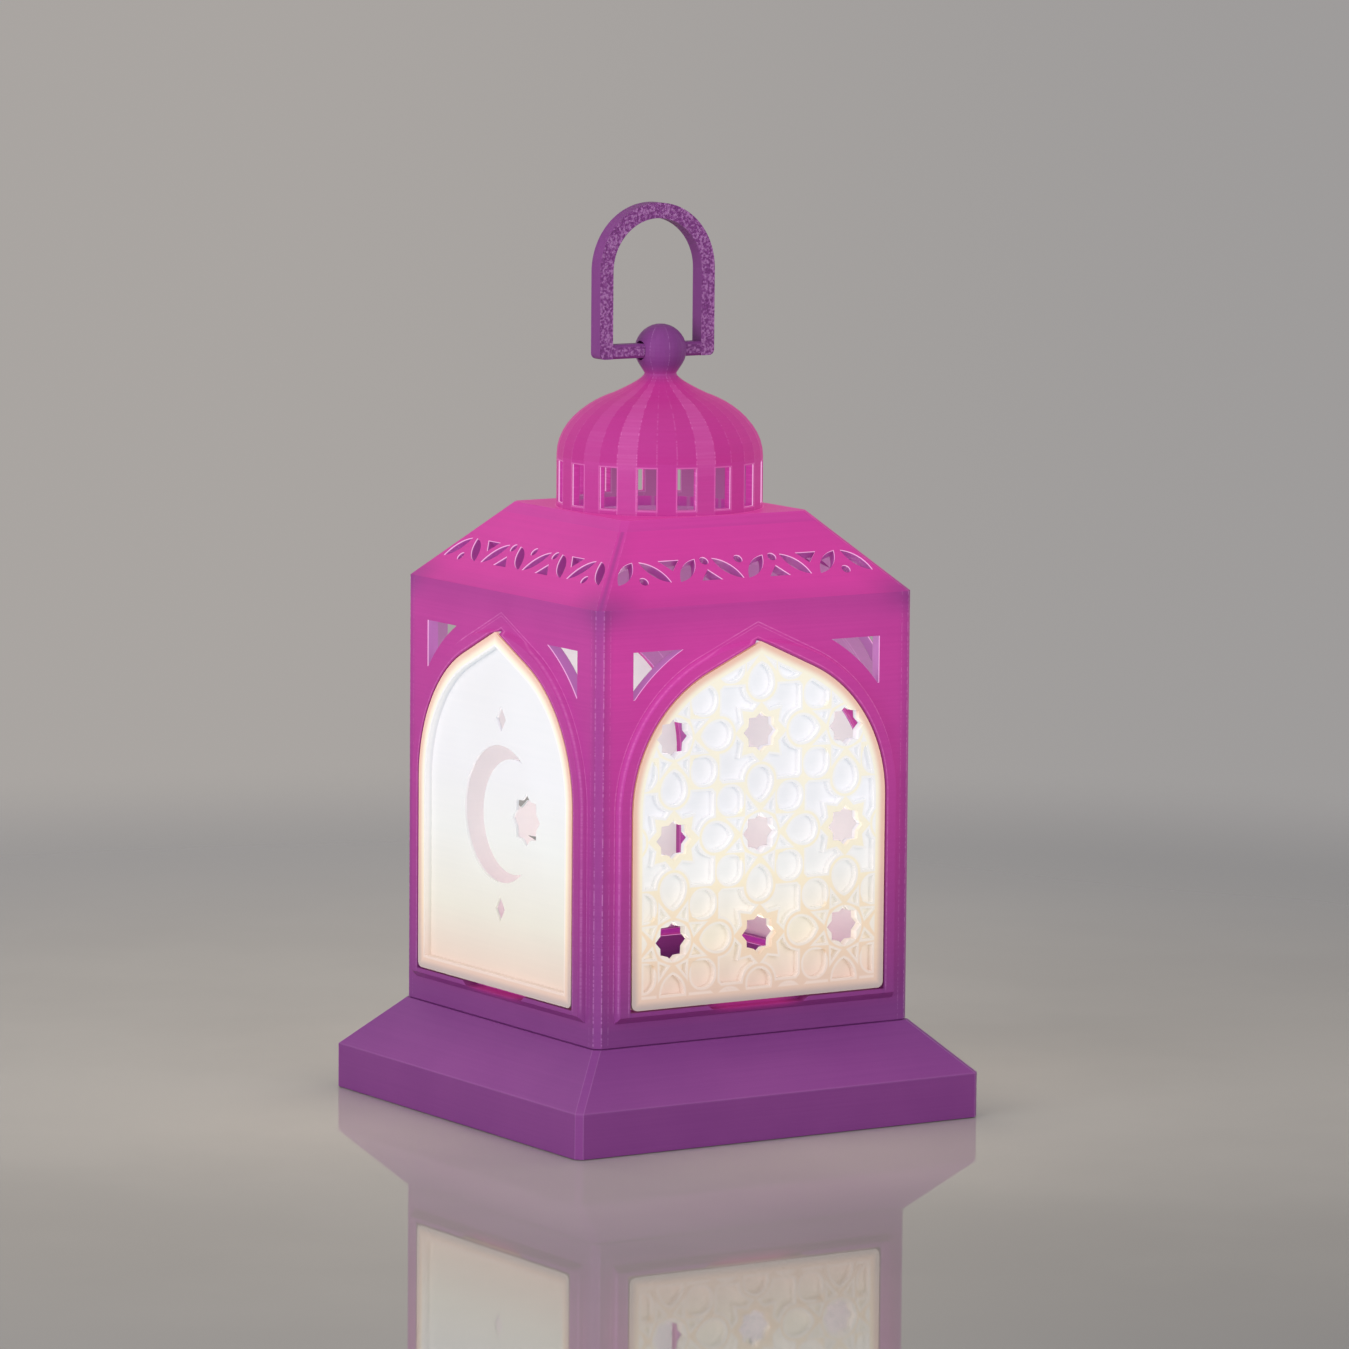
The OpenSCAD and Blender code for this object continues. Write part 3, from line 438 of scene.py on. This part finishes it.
def hip_highlights(tree, place, x, y, z):
    """The small steps of the layers along the hips, in the bump, with a row of painted highlights on them."""
    out, along = out_and_along(x, y)
    bead_glints = noise(tree, place, (60, 60, 1100), 2, seed=5.0).fade(0.4, 0.65)
    return (out - along).near(cut_edge, 0.3) * bead_glints * 0.35


slope_print = purple_print("glowing roof print", roof_glow, roof_depth, slope_thickness, hip_highlights, deep=0.5)
give(slope_print, "front_slope", "right_slope", "back_slope", "left_slope")

# %% [markdown]
# The roof's flat top is the last layer that the printer laid there before it went on with the drum, and its
# slanting lines show side by side. They are a sine wave across the diagonal, broken up by noise.

# %% The flat top
plate_top, plate_thickness = 184.0, 3.0
drum_inside, drum_foot_line = 28.6, 31.6
printed_line = 0.42
plate_edge_light, plate_light = 0.36, 0.4


def plate_glow(x, y, z):
    """Even, like the upper part of the slopes."""
    return z.fade(plate_top - 4, plate_top, plate_edge_light, plate_light)


def plate_depth(x, y, z):
    """All that lies within the drum's wall counts as deep inside."""
    return (drum_inside - x.long(y)) * 10.0


def raster(tree, place, x, y, z):
    """The slanting lines of the flat top's last layer, and a pale line around the drum's foot, painted as a
    highlight.
    """
    stripes = ((x + y) * (2 * math.pi / (printed_line * math.sqrt(2)))).work("SINE") * 0.17 + 0.17
    broken = noise(tree, place, (300, 300, 300), 2).fade(0.2, 0.5)
    shown = stripes.most(x.long(y).near(drum_foot_line, 0.5)) * broken
    return shown * z.fade(plate_top - 0.1, plate_top + 0.05)


plate_print = purple_print("glowing roof top print", plate_glow, plate_depth, plate_thickness, raster, deep=0.3)
give(plate_print, "roof_plate")

# %% [markdown]
# The drum and dome have thirty-two flat sides. Three sides in sixteen get a painted reflection, and the edges
# between the sides get upright lines of small painted highlights, one bead glint to a layer. The angle around
# the axis, counted in sides, gives both: its whole part picks the side, and what is left says how far the
# point is from the nearest edge.

# %% The sides and windows of the drum
side_angle = math.radians(360 / 32)
drum_radius, drum_thickness = 31.3, 2.95
window_middle, half_window, half_window_height = 192.0, 2.95, 6.3


def side_count(x, y):
    """The side that a point is on, counted around the axis, its nearest edge, counted likewise, and the
    distance in millimetres to that edge."""
    sides = y.work("ARCTAN2", x) * (1 / side_angle) + 32
    left = sides.work("FRACT")
    return sides.work("FLOOR"), (sides + 0.5).work("FLOOR"), left.least(1 - left) * x.long(y) * side_angle


def window_outline(x, y, z):
    """A thin line of painted highlight around each window. The windows are in the even sides, so the angle
    counted in sides, taken modulo two, says how far a point lies sideways from the middle of the nearest one."""
    sides = y.work("ARCTAN2", x) * (1 / side_angle) + 32.5
    sideways = abs(sides.work("MODULO", 2.0) - 1.0) * x.long(y) * side_angle - half_window
    return sideways.most(abs(z - window_middle) - half_window_height).near(0.25, 0.35)


# %% How the drum and dome glow
crown_light, neck_foot, neck_top = 0.345, 220.5, 228
half_reflecting_side, reflecting_sides = 1.0, (3.0, 7.0)
marked_edges, faint_edges = (3.0, 7.0), (4.0, 8.0)


def crown_glow(x, y, z):
    """Even on the drum and dome, and gone at the solid neck."""
    return z.fade(neck_foot, neck_top, crown_light, 0.0)


def drum_depth(x, y, z):
    """Depth behind the drum's outside. The flat sides lie up to 0.15 mm inside the circle of the corners."""
    return drum_radius - x.long(y)


def any_of(number, values):
    """One where a whole number is the first or the second value."""
    return number.near(values[0], 0.5).most(number.near(values[1], 0.5))


def facet_highlights(tree, place, x, y, z):
    """Painted highlights: upright lines of bead glints along the edges between the sides, strongest on either
    side of the sides that get a painted reflection, with only half of them on the ball. It also gives that
    painted reflection and the painted outlines of the windows."""
    side, nearest, edge = side_count(x, y)
    part, mark = side.work("MODULO", 16.0), nearest.work("MODULO", 16.0)
    reflecting = (part.near(half_reflecting_side, 0.5) * 0.6).most(any_of(part, reflecting_sides))
    strong = any_of(mark, marked_edges).most(any_of(mark, faint_edges).least(z.fade(226, 221))) * 0.9
    bead_glints = noise(tree, place, (40, 40, 1500), 2, seed=2.0).fade(0.4, 0.65)
    edge_width = x.long(y).fade(8, 30, 0.22, 0.36)
    # Painted highlights along the edges, broken into glints.
    edge_glints = edge.near(0.0, edge_width) * bead_glints * strong.most(z.fade(218, 226, 0.4, 0.0))
    # Painted reflection on three sides in sixteen, weaker on the drum and gone on the ball.
    sheen = reflecting * z.fade(226, 218) * z.fade(194, 201, 0.35, 1.0) * (bead_glints * 0.1 + 0.26)
    return edge_glints.most(sheen).most(window_outline(x, y, z) * 0.8)


give(purple_print("glowing drum print", crown_glow, drum_depth, drum_thickness, facet_highlights, deep=0.7), "drum")
give(purple_print("glowing dome print", crown_glow, lines=facet_highlights, deep=0.95), "dome")

# %% [markdown]
# The base is thick and gets no light from inside, so it shows the plastic's own purple, with a soft pale
# painted highlight where two faces meet. The ring was printed lying down. So its layers are stacked from front
# to back, and the face that lay on the printer's bed has taken over the bed's pebbled grain, with painted shade
# in its hollows and painted glints on its tops.

# %% The base and the ring
base_band_top, base_cut_edge = 13.5, 1.8
pebbles_per_metre, pebble_height = 1400, 14.0


def base_edge_highlights(tree, place, x, y, z):
    """Soft pale painted highlights along the cut corners of the base and where the band meets the slope."""
    out, along = out_and_along(x, y)
    return (out - along).near(base_cut_edge, 0.35) * 0.4 + z.near(base_band_top, 0.5) * 0.2


def print_bed_grain(tree, place):
    """The pebbled grain of the face that lay on the printer's bed: its height, the painted shade in its hollows
    and the painted glints on its tops. It shows where the piece's own normal points to the front or back."""
    pebbles = noise(tree, place, [pebbles_per_metre] * 3, 1.0)
    normal = add_node(tree, "ShaderNodeTexCoord").outputs["Normal"]
    facing = abs(Number(add_node(tree, "ShaderNodeSeparateXYZ", {0: normal}).outputs[1])).fade(0.8, 0.95)
    # Painted shade in the pebbles' hollows and painted glints on their tops.
    pit_shade, speck_glints = pebbles.fade(0.46, 0.36) * facing * 0.4, pebbles.fade(0.42, 0.7) * facing * 0.7
    return pebbles * facing * pebble_height, pit_shade, speck_glints


give(purple_print("solid purple print", lines=base_edge_highlights), "base", "base_floor", "well_ring")
give(purple_print("bed side purple print", along=1, grain=print_bed_grain), "carry_ring")

# %% [markdown]
# The panels are white plastic, thin enough to let most of the light through. Where they are thinnest, in the
# sunk cells, the light is almost white. The straps between the cells are thicker and come out cream, with
# white along their edges, and the rim goes from cream to peach. Everything near the foot is duller, because
# the light reaches it least.
#
# So the finish has to know where in the pattern a point is. The pattern repeats and mirrors itself, and every
# part of it is a copy of what lies in one small triangle. Folding the plane onto that triangle first leaves
# only five simple outlines to measure: a drop, a rounded square, half a kite, half a star, and the circle
# around a star hole.

# %% Folding the star pattern
star_pitch, star_middle, star_hole, hole_least = 30.6, 90.8, 5.6, -0.05


def fold(part):
    """Folds a line onto the stretch from 0 to 1, back and forth."""
    return abs((part + 101.0).work("MODULO", 2.0) - 1.0)


def folded(along, z):
    """Where in the small triangle a point of the pattern comes to lie, in parts of the pitch."""
    a, b = fold(along * (1 / star_pitch)), fold((z - star_middle) * (1 / star_pitch))
    over = (a + b - 1).most(0.0)
    a, b = a - over, b - over
    return a.most(b), a.least(b)


def beyond(x, y, start, end):
    """How far a point lies to the right of the line from start to end."""
    step = np.subtract(end, start) / math.dist(start, end)
    return (x - start[0]) * step[1] - (y - start[1]) * step[0]


# %% Where a point is in the star pattern
drop_middle, drop_lift, drop_side, drop_end = 0.521, 0.0763, 0.2103, 0.134
petal_middle, petal_flat, petal_round = 0.346, 0.01, 0.125
kite_corners = [(0.341, 0.151), (0.21, 0.154), (0.245, 0.066)]
half_star_corners = [(0.249, 0.249), (0.226, 0.105), (0.277, 0.056)]
bow_middle, bow_radius, half_star_end, half_star_slant = 0.479, 0.2096, 0.458, 0.888


def cell_distance(along, z):
    """The distance in millimetres from the nearest cell or star hole, less than nothing inside a cell."""
    a, b = folded(along, z)
    side_part = (a - drop_middle).long(b + drop_lift) - drop_side
    end_part = (a - drop_middle).long(b) - drop_end
    drop = side_part + a.work("GREATER_THAN", drop_middle) * (end_part - side_part)
    petal_a, petal_b = [(abs(part - petal_middle) - petal_flat).most(0.0) for part in (a, b)]
    petal = petal_a.long(petal_b) - petal_round
    first, second, third = kite_corners
    kite = beyond(a, b, first, second).most(beyond(a, b, second, third)).most(beyond(a, b, third, first))
    s = 1 - a
    star = (bow_radius - (s - bow_middle).long(b)).most(s - half_star_end)
    star = star.most((s + b - half_star_slant) * math.sqrt(0.5))
    first, second, third = half_star_corners
    star = star.most(beyond(s, b, second, third)).most(beyond(s, b, first, second))
    hole = a.long(b) * star_pitch - star_hole
    return (drop.least(petal).least(kite).least(star) * star_pitch).least(hole.most(hole_least))


print("the star holes in mm: across", 2 * star_hole, "apart", star_pitch)

# %% [markdown]
# The glow of a panel depends on how thick the plastic is at a point and how high the point stands over the
# lamp. So each kind of place has its own list of colours by height, and the distances choose between them:
# the cells' floor, the edges beside it, the straps, the rim, and the back that one sees through the holes.

# %% Light that comes through the panels
cell_light = [
    (42, (0.3, 0.19, 0.14)), (60, (0.42, 0.42, 0.31)), (78, (0.41, 0.48, 0.48)), (98, (0.41, 0.49, 0.54)),
]
field_light = [
    (42, (0.26, 0.18, 0.11)), (62, (0.29, 0.35, 0.28)), (85, (0.33, 0.43, 0.43)), (105, (0.34, 0.43, 0.48)),
]
strap_light = [
    (42, (0.24, 0.13, 0.06)), (60, (0.39, 0.29, 0.13)), (80, (0.45, 0.45, 0.28)), (100, (0.46, 0.49, 0.36)),
]
peach_light = [
    (40, (0.0, 0.0, 0.0)), (60, (0.17, 0.06, 0.03)), (80, (0.3, 0.12, 0.04)), (110, (0.35, 0.14, 0.05)),
]
edge_light = [(42, (0.3, 0.22, 0.17)), (62, (0.39, 0.41, 0.35)), (90, (0.42, 0.49, 0.51))]
back_light = [
    (45, (0.09, 0.02, 0.09)), (62, (0.16, 0.2, 0.22)), (80, (0.21, 0.3, 0.31)), (110, (0.21, 0.31, 0.32)),
]

# %% Glowing white panels
white, creamy_white = (0.49, 0.41, 0.4, 1), (0.52, 0.435, 0.42, 1)
rim_face, rim_width, sunk, panel_back = 58.2, 4.0, 2.3, 3.2
panel_roughness, panel_gloss = 0.55, 0.3


def white_print(name, floor_light, pattern=None):
    """Thin white plastic lit from behind, with or without the star pattern. Floor light is the colour of the
    light that comes through where the plastic is thinnest."""
    finish, tree, shader, place, (x, y, z) = start_finish(name, panel_roughness, Specular_IOR_Level=panel_gloss)
    out, along = out_and_along(x, y)
    depth = rim_face - out
    inward = (arch_radius - arch_reach(along, z)).least(z - panel_foot)
    beside = rim_width - inward
    if pattern:
        beside = pattern(along, z).most(beside)
    strap = mix(tree, beside.fade(0.45, 1.0), by_height(tree, z, edge_light), by_height(tree, z, strap_light))
    raised = mix(tree, inward.fade(3.0, 0.6), strap, by_height(tree, z, peach_light))
    # Painted shade: the cells' floors get up to a tenth less light within 0.7 mm of the straps.
    shade_near_wall = beside.fade(-0.7, 0.0, 1.0, 0.9)
    thinnest = scaled(tree, by_height(tree, z, floor_light), shade_near_wall)
    lit = mix(tree, depth.fade(sunk - 1.6, sunk - 0.2), raised, thinnest)
    lit = mix(tree, depth.fade(panel_back - 0.3, panel_back - 0.1), lit, by_height(tree, z, back_light))
    cloud = noise(tree, place, (25, 25, 25), 2).fade(0.3, 0.7, 0.96, 1.04)
    grooves = bumped(tree, level_lines(tree, place, z, 0.15), 0.3, 0.05)
    tone = mix(tree, noise(tree, place, (20, 20, 900), 2), white, creamy_white)
    join(tree, shader, Base_Color=tone, Emission_Color=scaled(tree, lit, cloud), Normal=grooves)
    shader.inputs["Emission Strength"].default_value = 1.0
    return finish


give(white_print("star panel print", cell_light, cell_distance), "front_panel", "right_panel")
give(white_print("crescent panel print", field_light), "back_panel", "left_panel")

# %% [markdown]
# The push light is an ordinary one: a light grey case with a fine moulded grain, a plated ring, a frosted
# lens that shines, and its board, switch, cells, springs and plates inside. Moulded parts get a very fine
# noise in the bump, metal gets brushed streaks, and the cells a plain wrap with bare metal ends.

# %% Moulded plastic and plated metal
def darker(colour, share):
    """A colour with its red, green and blue times a share."""
    return tuple(part * share for part in colour[:3]) + (1,)


def moulded(name, colour, roughness, grain=2500, depth=0.02, light=None, strength=1.0, **constants):
    """Moulded plastic: one colour with slight clouds, and a fine grain in the bump, whose depth is in
    millimetres. If it has a light, it gives that off, a little unevenly."""
    finish, tree, shader, place, _ = start_finish(name, roughness, **constants)
    tone = mix(tree, noise(tree, place, (90, 90, 90), 3).fade(0.3, 0.7), darker(colour, 0.9), colour)
    fine = noise(tree, place, (grain, grain, grain), 2)
    join(tree, shader, Base_Color=tone, Normal=bumped(tree, fine, 0.4, depth))
    if light:
        uneven = noise(tree, place, (60, 60, 60), 2).fade(0.2, 0.8, 0.85, 1.0)
        join(tree, shader, Emission_Color=scaled(tree, light, uneven))
        shader.inputs["Emission Strength"].default_value = strength
    return finish


def plated(name, colour, roughness, streaks):
    """Plated metal with fine streaks along its length."""
    finish, tree, shader, place, _ = start_finish(name, roughness, Metallic=1.0)
    lines = noise(tree, place, streaks, 3)
    tone = mix(tree, lines.fade(0.3, 0.7), darker(colour, 0.85), colour)
    uneven = lines.fade(0.2, 0.8, roughness - 0.05, roughness + 0.1)
    join(tree, shader, Base_Color=tone, Normal=bumped(tree, lines, 0.3, 0.01), Roughness=uneven)
    return finish


# %% The lamp's case, ring, board and switch
give(moulded("light grey moulding", (0.62, 0.62, 0.6, 1), 0.5), "lamp_case", "lamp_tray", "battery_cover")
give(plated("plated ring", (0.75, 0.75, 0.77, 1), 0.2, (200, 200, 3000)), "lamp_bezel")
spring_steel = plated("plated spring steel", (0.6, 0.6, 0.58, 1), 0.3, (600, 3000, 600))
give(spring_steel, "contact_springs", "contact_plates", "board_screws")
give(moulded("glossy reflector", (0.8, 0.8, 0.8, 1), 0.15), "lamp_reflector")
give(moulded("black switch moulding", (0.02, 0.02, 0.02, 1), 0.45), "push_switch")
give(moulded("button moulding", (0.45, 0.45, 0.45, 1), 0.4), "switch_button")
give(moulded("green lacquered board", (0.02, 0.11, 0.035, 1), 0.25, 900, 0.03, Coat_Weight=0.5), "led_board")

# %% The lens, the light chips and the cells
lens_colour, lens_light = (0.85, 0.84, 0.8, 1), (1.0, 0.93, 0.8)
chip_colour, chip_light = (0.85, 0.7, 0.25, 1), (1.0, 0.9, 0.7)
cell_end = 19.5


def cell_wrap(name):
    """A plain wrapped cell with a faint gloss, fine scuffs and bare metal at both ends."""
    finish, tree, shader, place, (_, y, _) = start_finish(name, 0.32, Coat_Weight=0.3)
    ends = abs(y).fade(cell_end, cell_end + 0.3)
    scuffs = noise(tree, place, (400, 60, 400), 3).fade(0.3, 0.8)
    wrap = mix(tree, scuffs, (0.03, 0.03, 0.033, 1), (0.06, 0.06, 0.066, 1))
    tone = mix(tree, ends, wrap, (0.5, 0.5, 0.5, 1))
    join(tree, shader, Base_Color=tone, Metallic=ends, Normal=bumped(tree, scuffs, 0.2, 0.01))
    return finish


give(moulded("frosted lens", lens_colour, 0.6, 1500, light=lens_light, strength=1.6), "lamp_lens")
give(moulded("yellow light chips", chip_colour, 0.3, 1500, light=chip_light, strength=3.0), "led_chips")
give(cell_wrap("dark wrapped cell"), "battery_1", "battery_2", "battery_3")

# %% [markdown]
# The lantern stands on a pale, polished surface that mirrors it softly. The floor is a disc whose rim fades
# into the background, so no hard edge shows, with a slightly darker, bluer band where it ends. A plane would
# do as well, but a disc fades alike all round, so that the views from behind look the same.

# %% A disc
def disc(name, radius, rings=24, sides=96):
    """A flat disc: a point goes out from the middle by its ring and round by its side."""
    ring, side = np.arange(1, rings + 1) / rings, np.arange(sides) / sides * 2 * np.pi
    ring, side = np.meshgrid(ring, side, indexing="ij")
    round_points = np.stack([radius * ring * np.cos(side), radius * ring * np.sin(side), 0 * ring], -1)
    points = np.vstack([[[0, 0, 0]], round_points.reshape(-1, 3)])
    k = np.arange(sides)
    inner = np.stack([0 * k, 1 + k, 1 + (k + 1) % sides], -1).tolist()
    i, j = np.meshgrid(np.arange(rings - 1), k, indexing="ij")
    start, after = 1 + i * sides + j, 1 + i * sides + (j + 1) % sides
    outer = np.stack([start, start + sides, after + sides, after], -1).reshape(-1, 4).tolist()
    mesh = bpy.data.meshes.new(name)
    mesh.from_pydata(points.tolist(), [], inner + outer)
    made = bpy.data.objects.new(name, mesh)
    bpy.context.scene.collection.objects.link(made)
    return made


# %% Floor
floor_radius, floor_drop = 0.95, 0.0002
warm_stone, warm_vein = (0.385, 0.364, 0.335, 1), (0.42, 0.398, 0.365, 1)
far_stone = (0.294, 0.292, 0.296, 1)

floor = disc("floor", floor_radius)
floor.location.z = -floor_drop
polish, tree, shader, place, (x, y, _) = start_finish("polished pale floor", 0.02, Specular_IOR_Level=0.5)
away = x.long(y)
aside = x * camera_right[0] + y * camera_right[1]
nearer = x * camera_back[0] + y * camera_back[1]
# Painted shade: the floor is darker to the right of the camera's view and nearer the camera.
painted_floor_shade = aside.fade(-20, 200, 0.95, 0.81) * nearer.fade(40, 260, 1.0, 0.78)
stone = mix(tree, noise(tree, place, (6, 6, 6), 5).fade(0.35, 0.65), warm_stone, warm_vein)
stone = mix(tree, away.fade(250, 560), stone, far_stone)
join(tree, shader, Base_Color=scaled(tree, stone, painted_floor_shade))
clear = add_node(tree, "ShaderNodeBsdfTransparent").outputs[0]
faded = add_node(tree, "ShaderNodeMixShader", {0: away.fade(520, 760), 1: shader.outputs[0], 2: clear})
tree.links.new(faded.outputs[0], tree.nodes["Material Output"].inputs["Surface"])
floor.data.materials.append(polish)
print("floor radius in metres:", floor_radius)

# %% [markdown]
# Behind the lantern is a plain grey wall, a little darker to one side. It is only the colour that the camera
# and the reflections see. What lights the lantern is an even sky of its own, so that the wall's grey doesn't
# change the light on the object.

# %% Background and soft sky
wall_left, wall_right = (0.4, 0.376, 0.358, 1), (0.345, 0.332, 0.328, 1)
sky_colour, sky_strength = (1.0, 0.98, 0.97, 1), 0.45

world = bpy.data.worlds.new("grey room")
world.use_nodes = True
bpy.context.scene.world = world
sky = world.node_tree
seen = add_node(sky, "ShaderNodeLightPath").outputs
ray_names = ("Is Camera Ray", "Is Glossy Ray", "Is Transmission Ray")
camera_ray, glossy_ray, clear_ray = [Number(seen[name]) for name in ray_names]
direct = camera_ray.most(glossy_ray).most(clear_ray)
heading = add_node(sky, "ShaderNodeTexCoord").outputs["Generated"]
east, north, _ = [Number(part) for part in add_node(sky, "ShaderNodeSeparateXYZ", {0: heading}).outputs]
sideways = (east * camera_right[0] + north * camera_right[1]).fade(-0.06, 0.09)
wall_colour = mix(sky, sideways, wall_left, wall_right)
wall = add_node(sky, "ShaderNodeBackground", {"Color": wall_colour, "Strength": 1.0}).outputs[0]
room = add_node(sky, "ShaderNodeBackground", {"Color": sky_colour, "Strength": sky_strength}).outputs[0]
either = add_node(sky, "ShaderNodeMixShader", {0: direct, 1: room, 2: wall}).outputs[0]
sky.links.new(either, sky.nodes["World Output"].inputs["Surface"])
print("sky strength:", sky_strength)

# %% [markdown]
# The rest of the light comes from large soft lamps all round, at a level at which a colour looks about as it
# is written. The left one is the strongest, as in the photographer's room. The low ones would show in the
# polished floor as bright squares, so they are kept out of reflections.

# %% Soft lamps
lantern_middle = np.array([0, 0, 0.13])


def add_lamp(name, kind, power, colour=(1, 1, 1), **settings):
    """A lamp of one kind, with its power in watts, its colour and its other settings."""
    data = bpy.data.lights.new(name, kind)
    data.energy, data.color = power, colour
    for setting, value in settings.items():
        setattr(data, setting, value)
    lamp = bpy.data.objects.new(name, data)
    bpy.context.scene.collection.objects.link(lamp)
    print(name, "power in watts:", power)
    return lamp


def soft_lamp(name, azimuth, elevation, away, size, power, mirrored=True):
    """A square soft lamp that faces the lantern's middle from one direction."""
    a, e = math.radians(azimuth), math.radians(elevation)
    direction = np.array([math.sin(a) * math.cos(e), -math.cos(a) * math.cos(e), math.sin(e)])
    lamp = add_lamp(name, "AREA", power, size=size)
    lamp.visible_camera, lamp.visible_glossy = False, mirrored
    stand(lamp, direction, direction * away + lantern_middle)


soft_lamp("left soft lamp", -78, 11, 1.7, 1.1, 21, mirrored=False)
soft_lamp("front soft lamp", 0, 12, 1.9, 1.1, 15, mirrored=False)
soft_lamp("right soft lamp", 95, 16, 1.8, 1.1, 10, mirrored=False)
soft_lamp("back soft lamp", 180, 18, 1.8, 1.1, 10, mirrored=False)
soft_lamp("top soft lamp", -20, 80, 1.6, 1.2, 1.4)
soft_lamp("high left soft lamp", -60, 45, 1.8, 0.9, 2.4)

# %% [markdown]
# Inside, a disc of light stands in for the push light's lens, and a small soft one for what the white walls
# scatter. Both are dim, because the finishes already glow. Outside each panel, a faint warm lamp that faces
# away from it throws the panel's light onto the floor around the lantern.

# %% Light from inside the lantern
lens_height = 0.0345
spill_out, spill_height = 0.061, 0.09

inside = add_lamp("push light", "AREA", 0.06, (1.0, 0.93, 0.85), shape="DISK", size=0.05)
inside.location = (0, 0, lens_height)
inside.rotation_euler = (math.pi, 0, 0)
scattered = add_lamp("light scattered inside", "POINT", 0.05, (1.0, 0.93, 0.9), shadow_soft_size=0.025)
scattered.location = lantern_middle

for outward in np.array([[1, 0, 0], [0, 1, 0], [-1, 0, 0], [0, -1, 0]]):
    spill = add_lamp("light from a panel", "AREA", 0.08, (1.0, 0.86, 0.68), size=0.085)
    spill.visible_camera, spill.visible_glossy = False, False
    stand(spill, -1.0 * outward, outward * spill_out + np.array([0, 0, spill_height]))
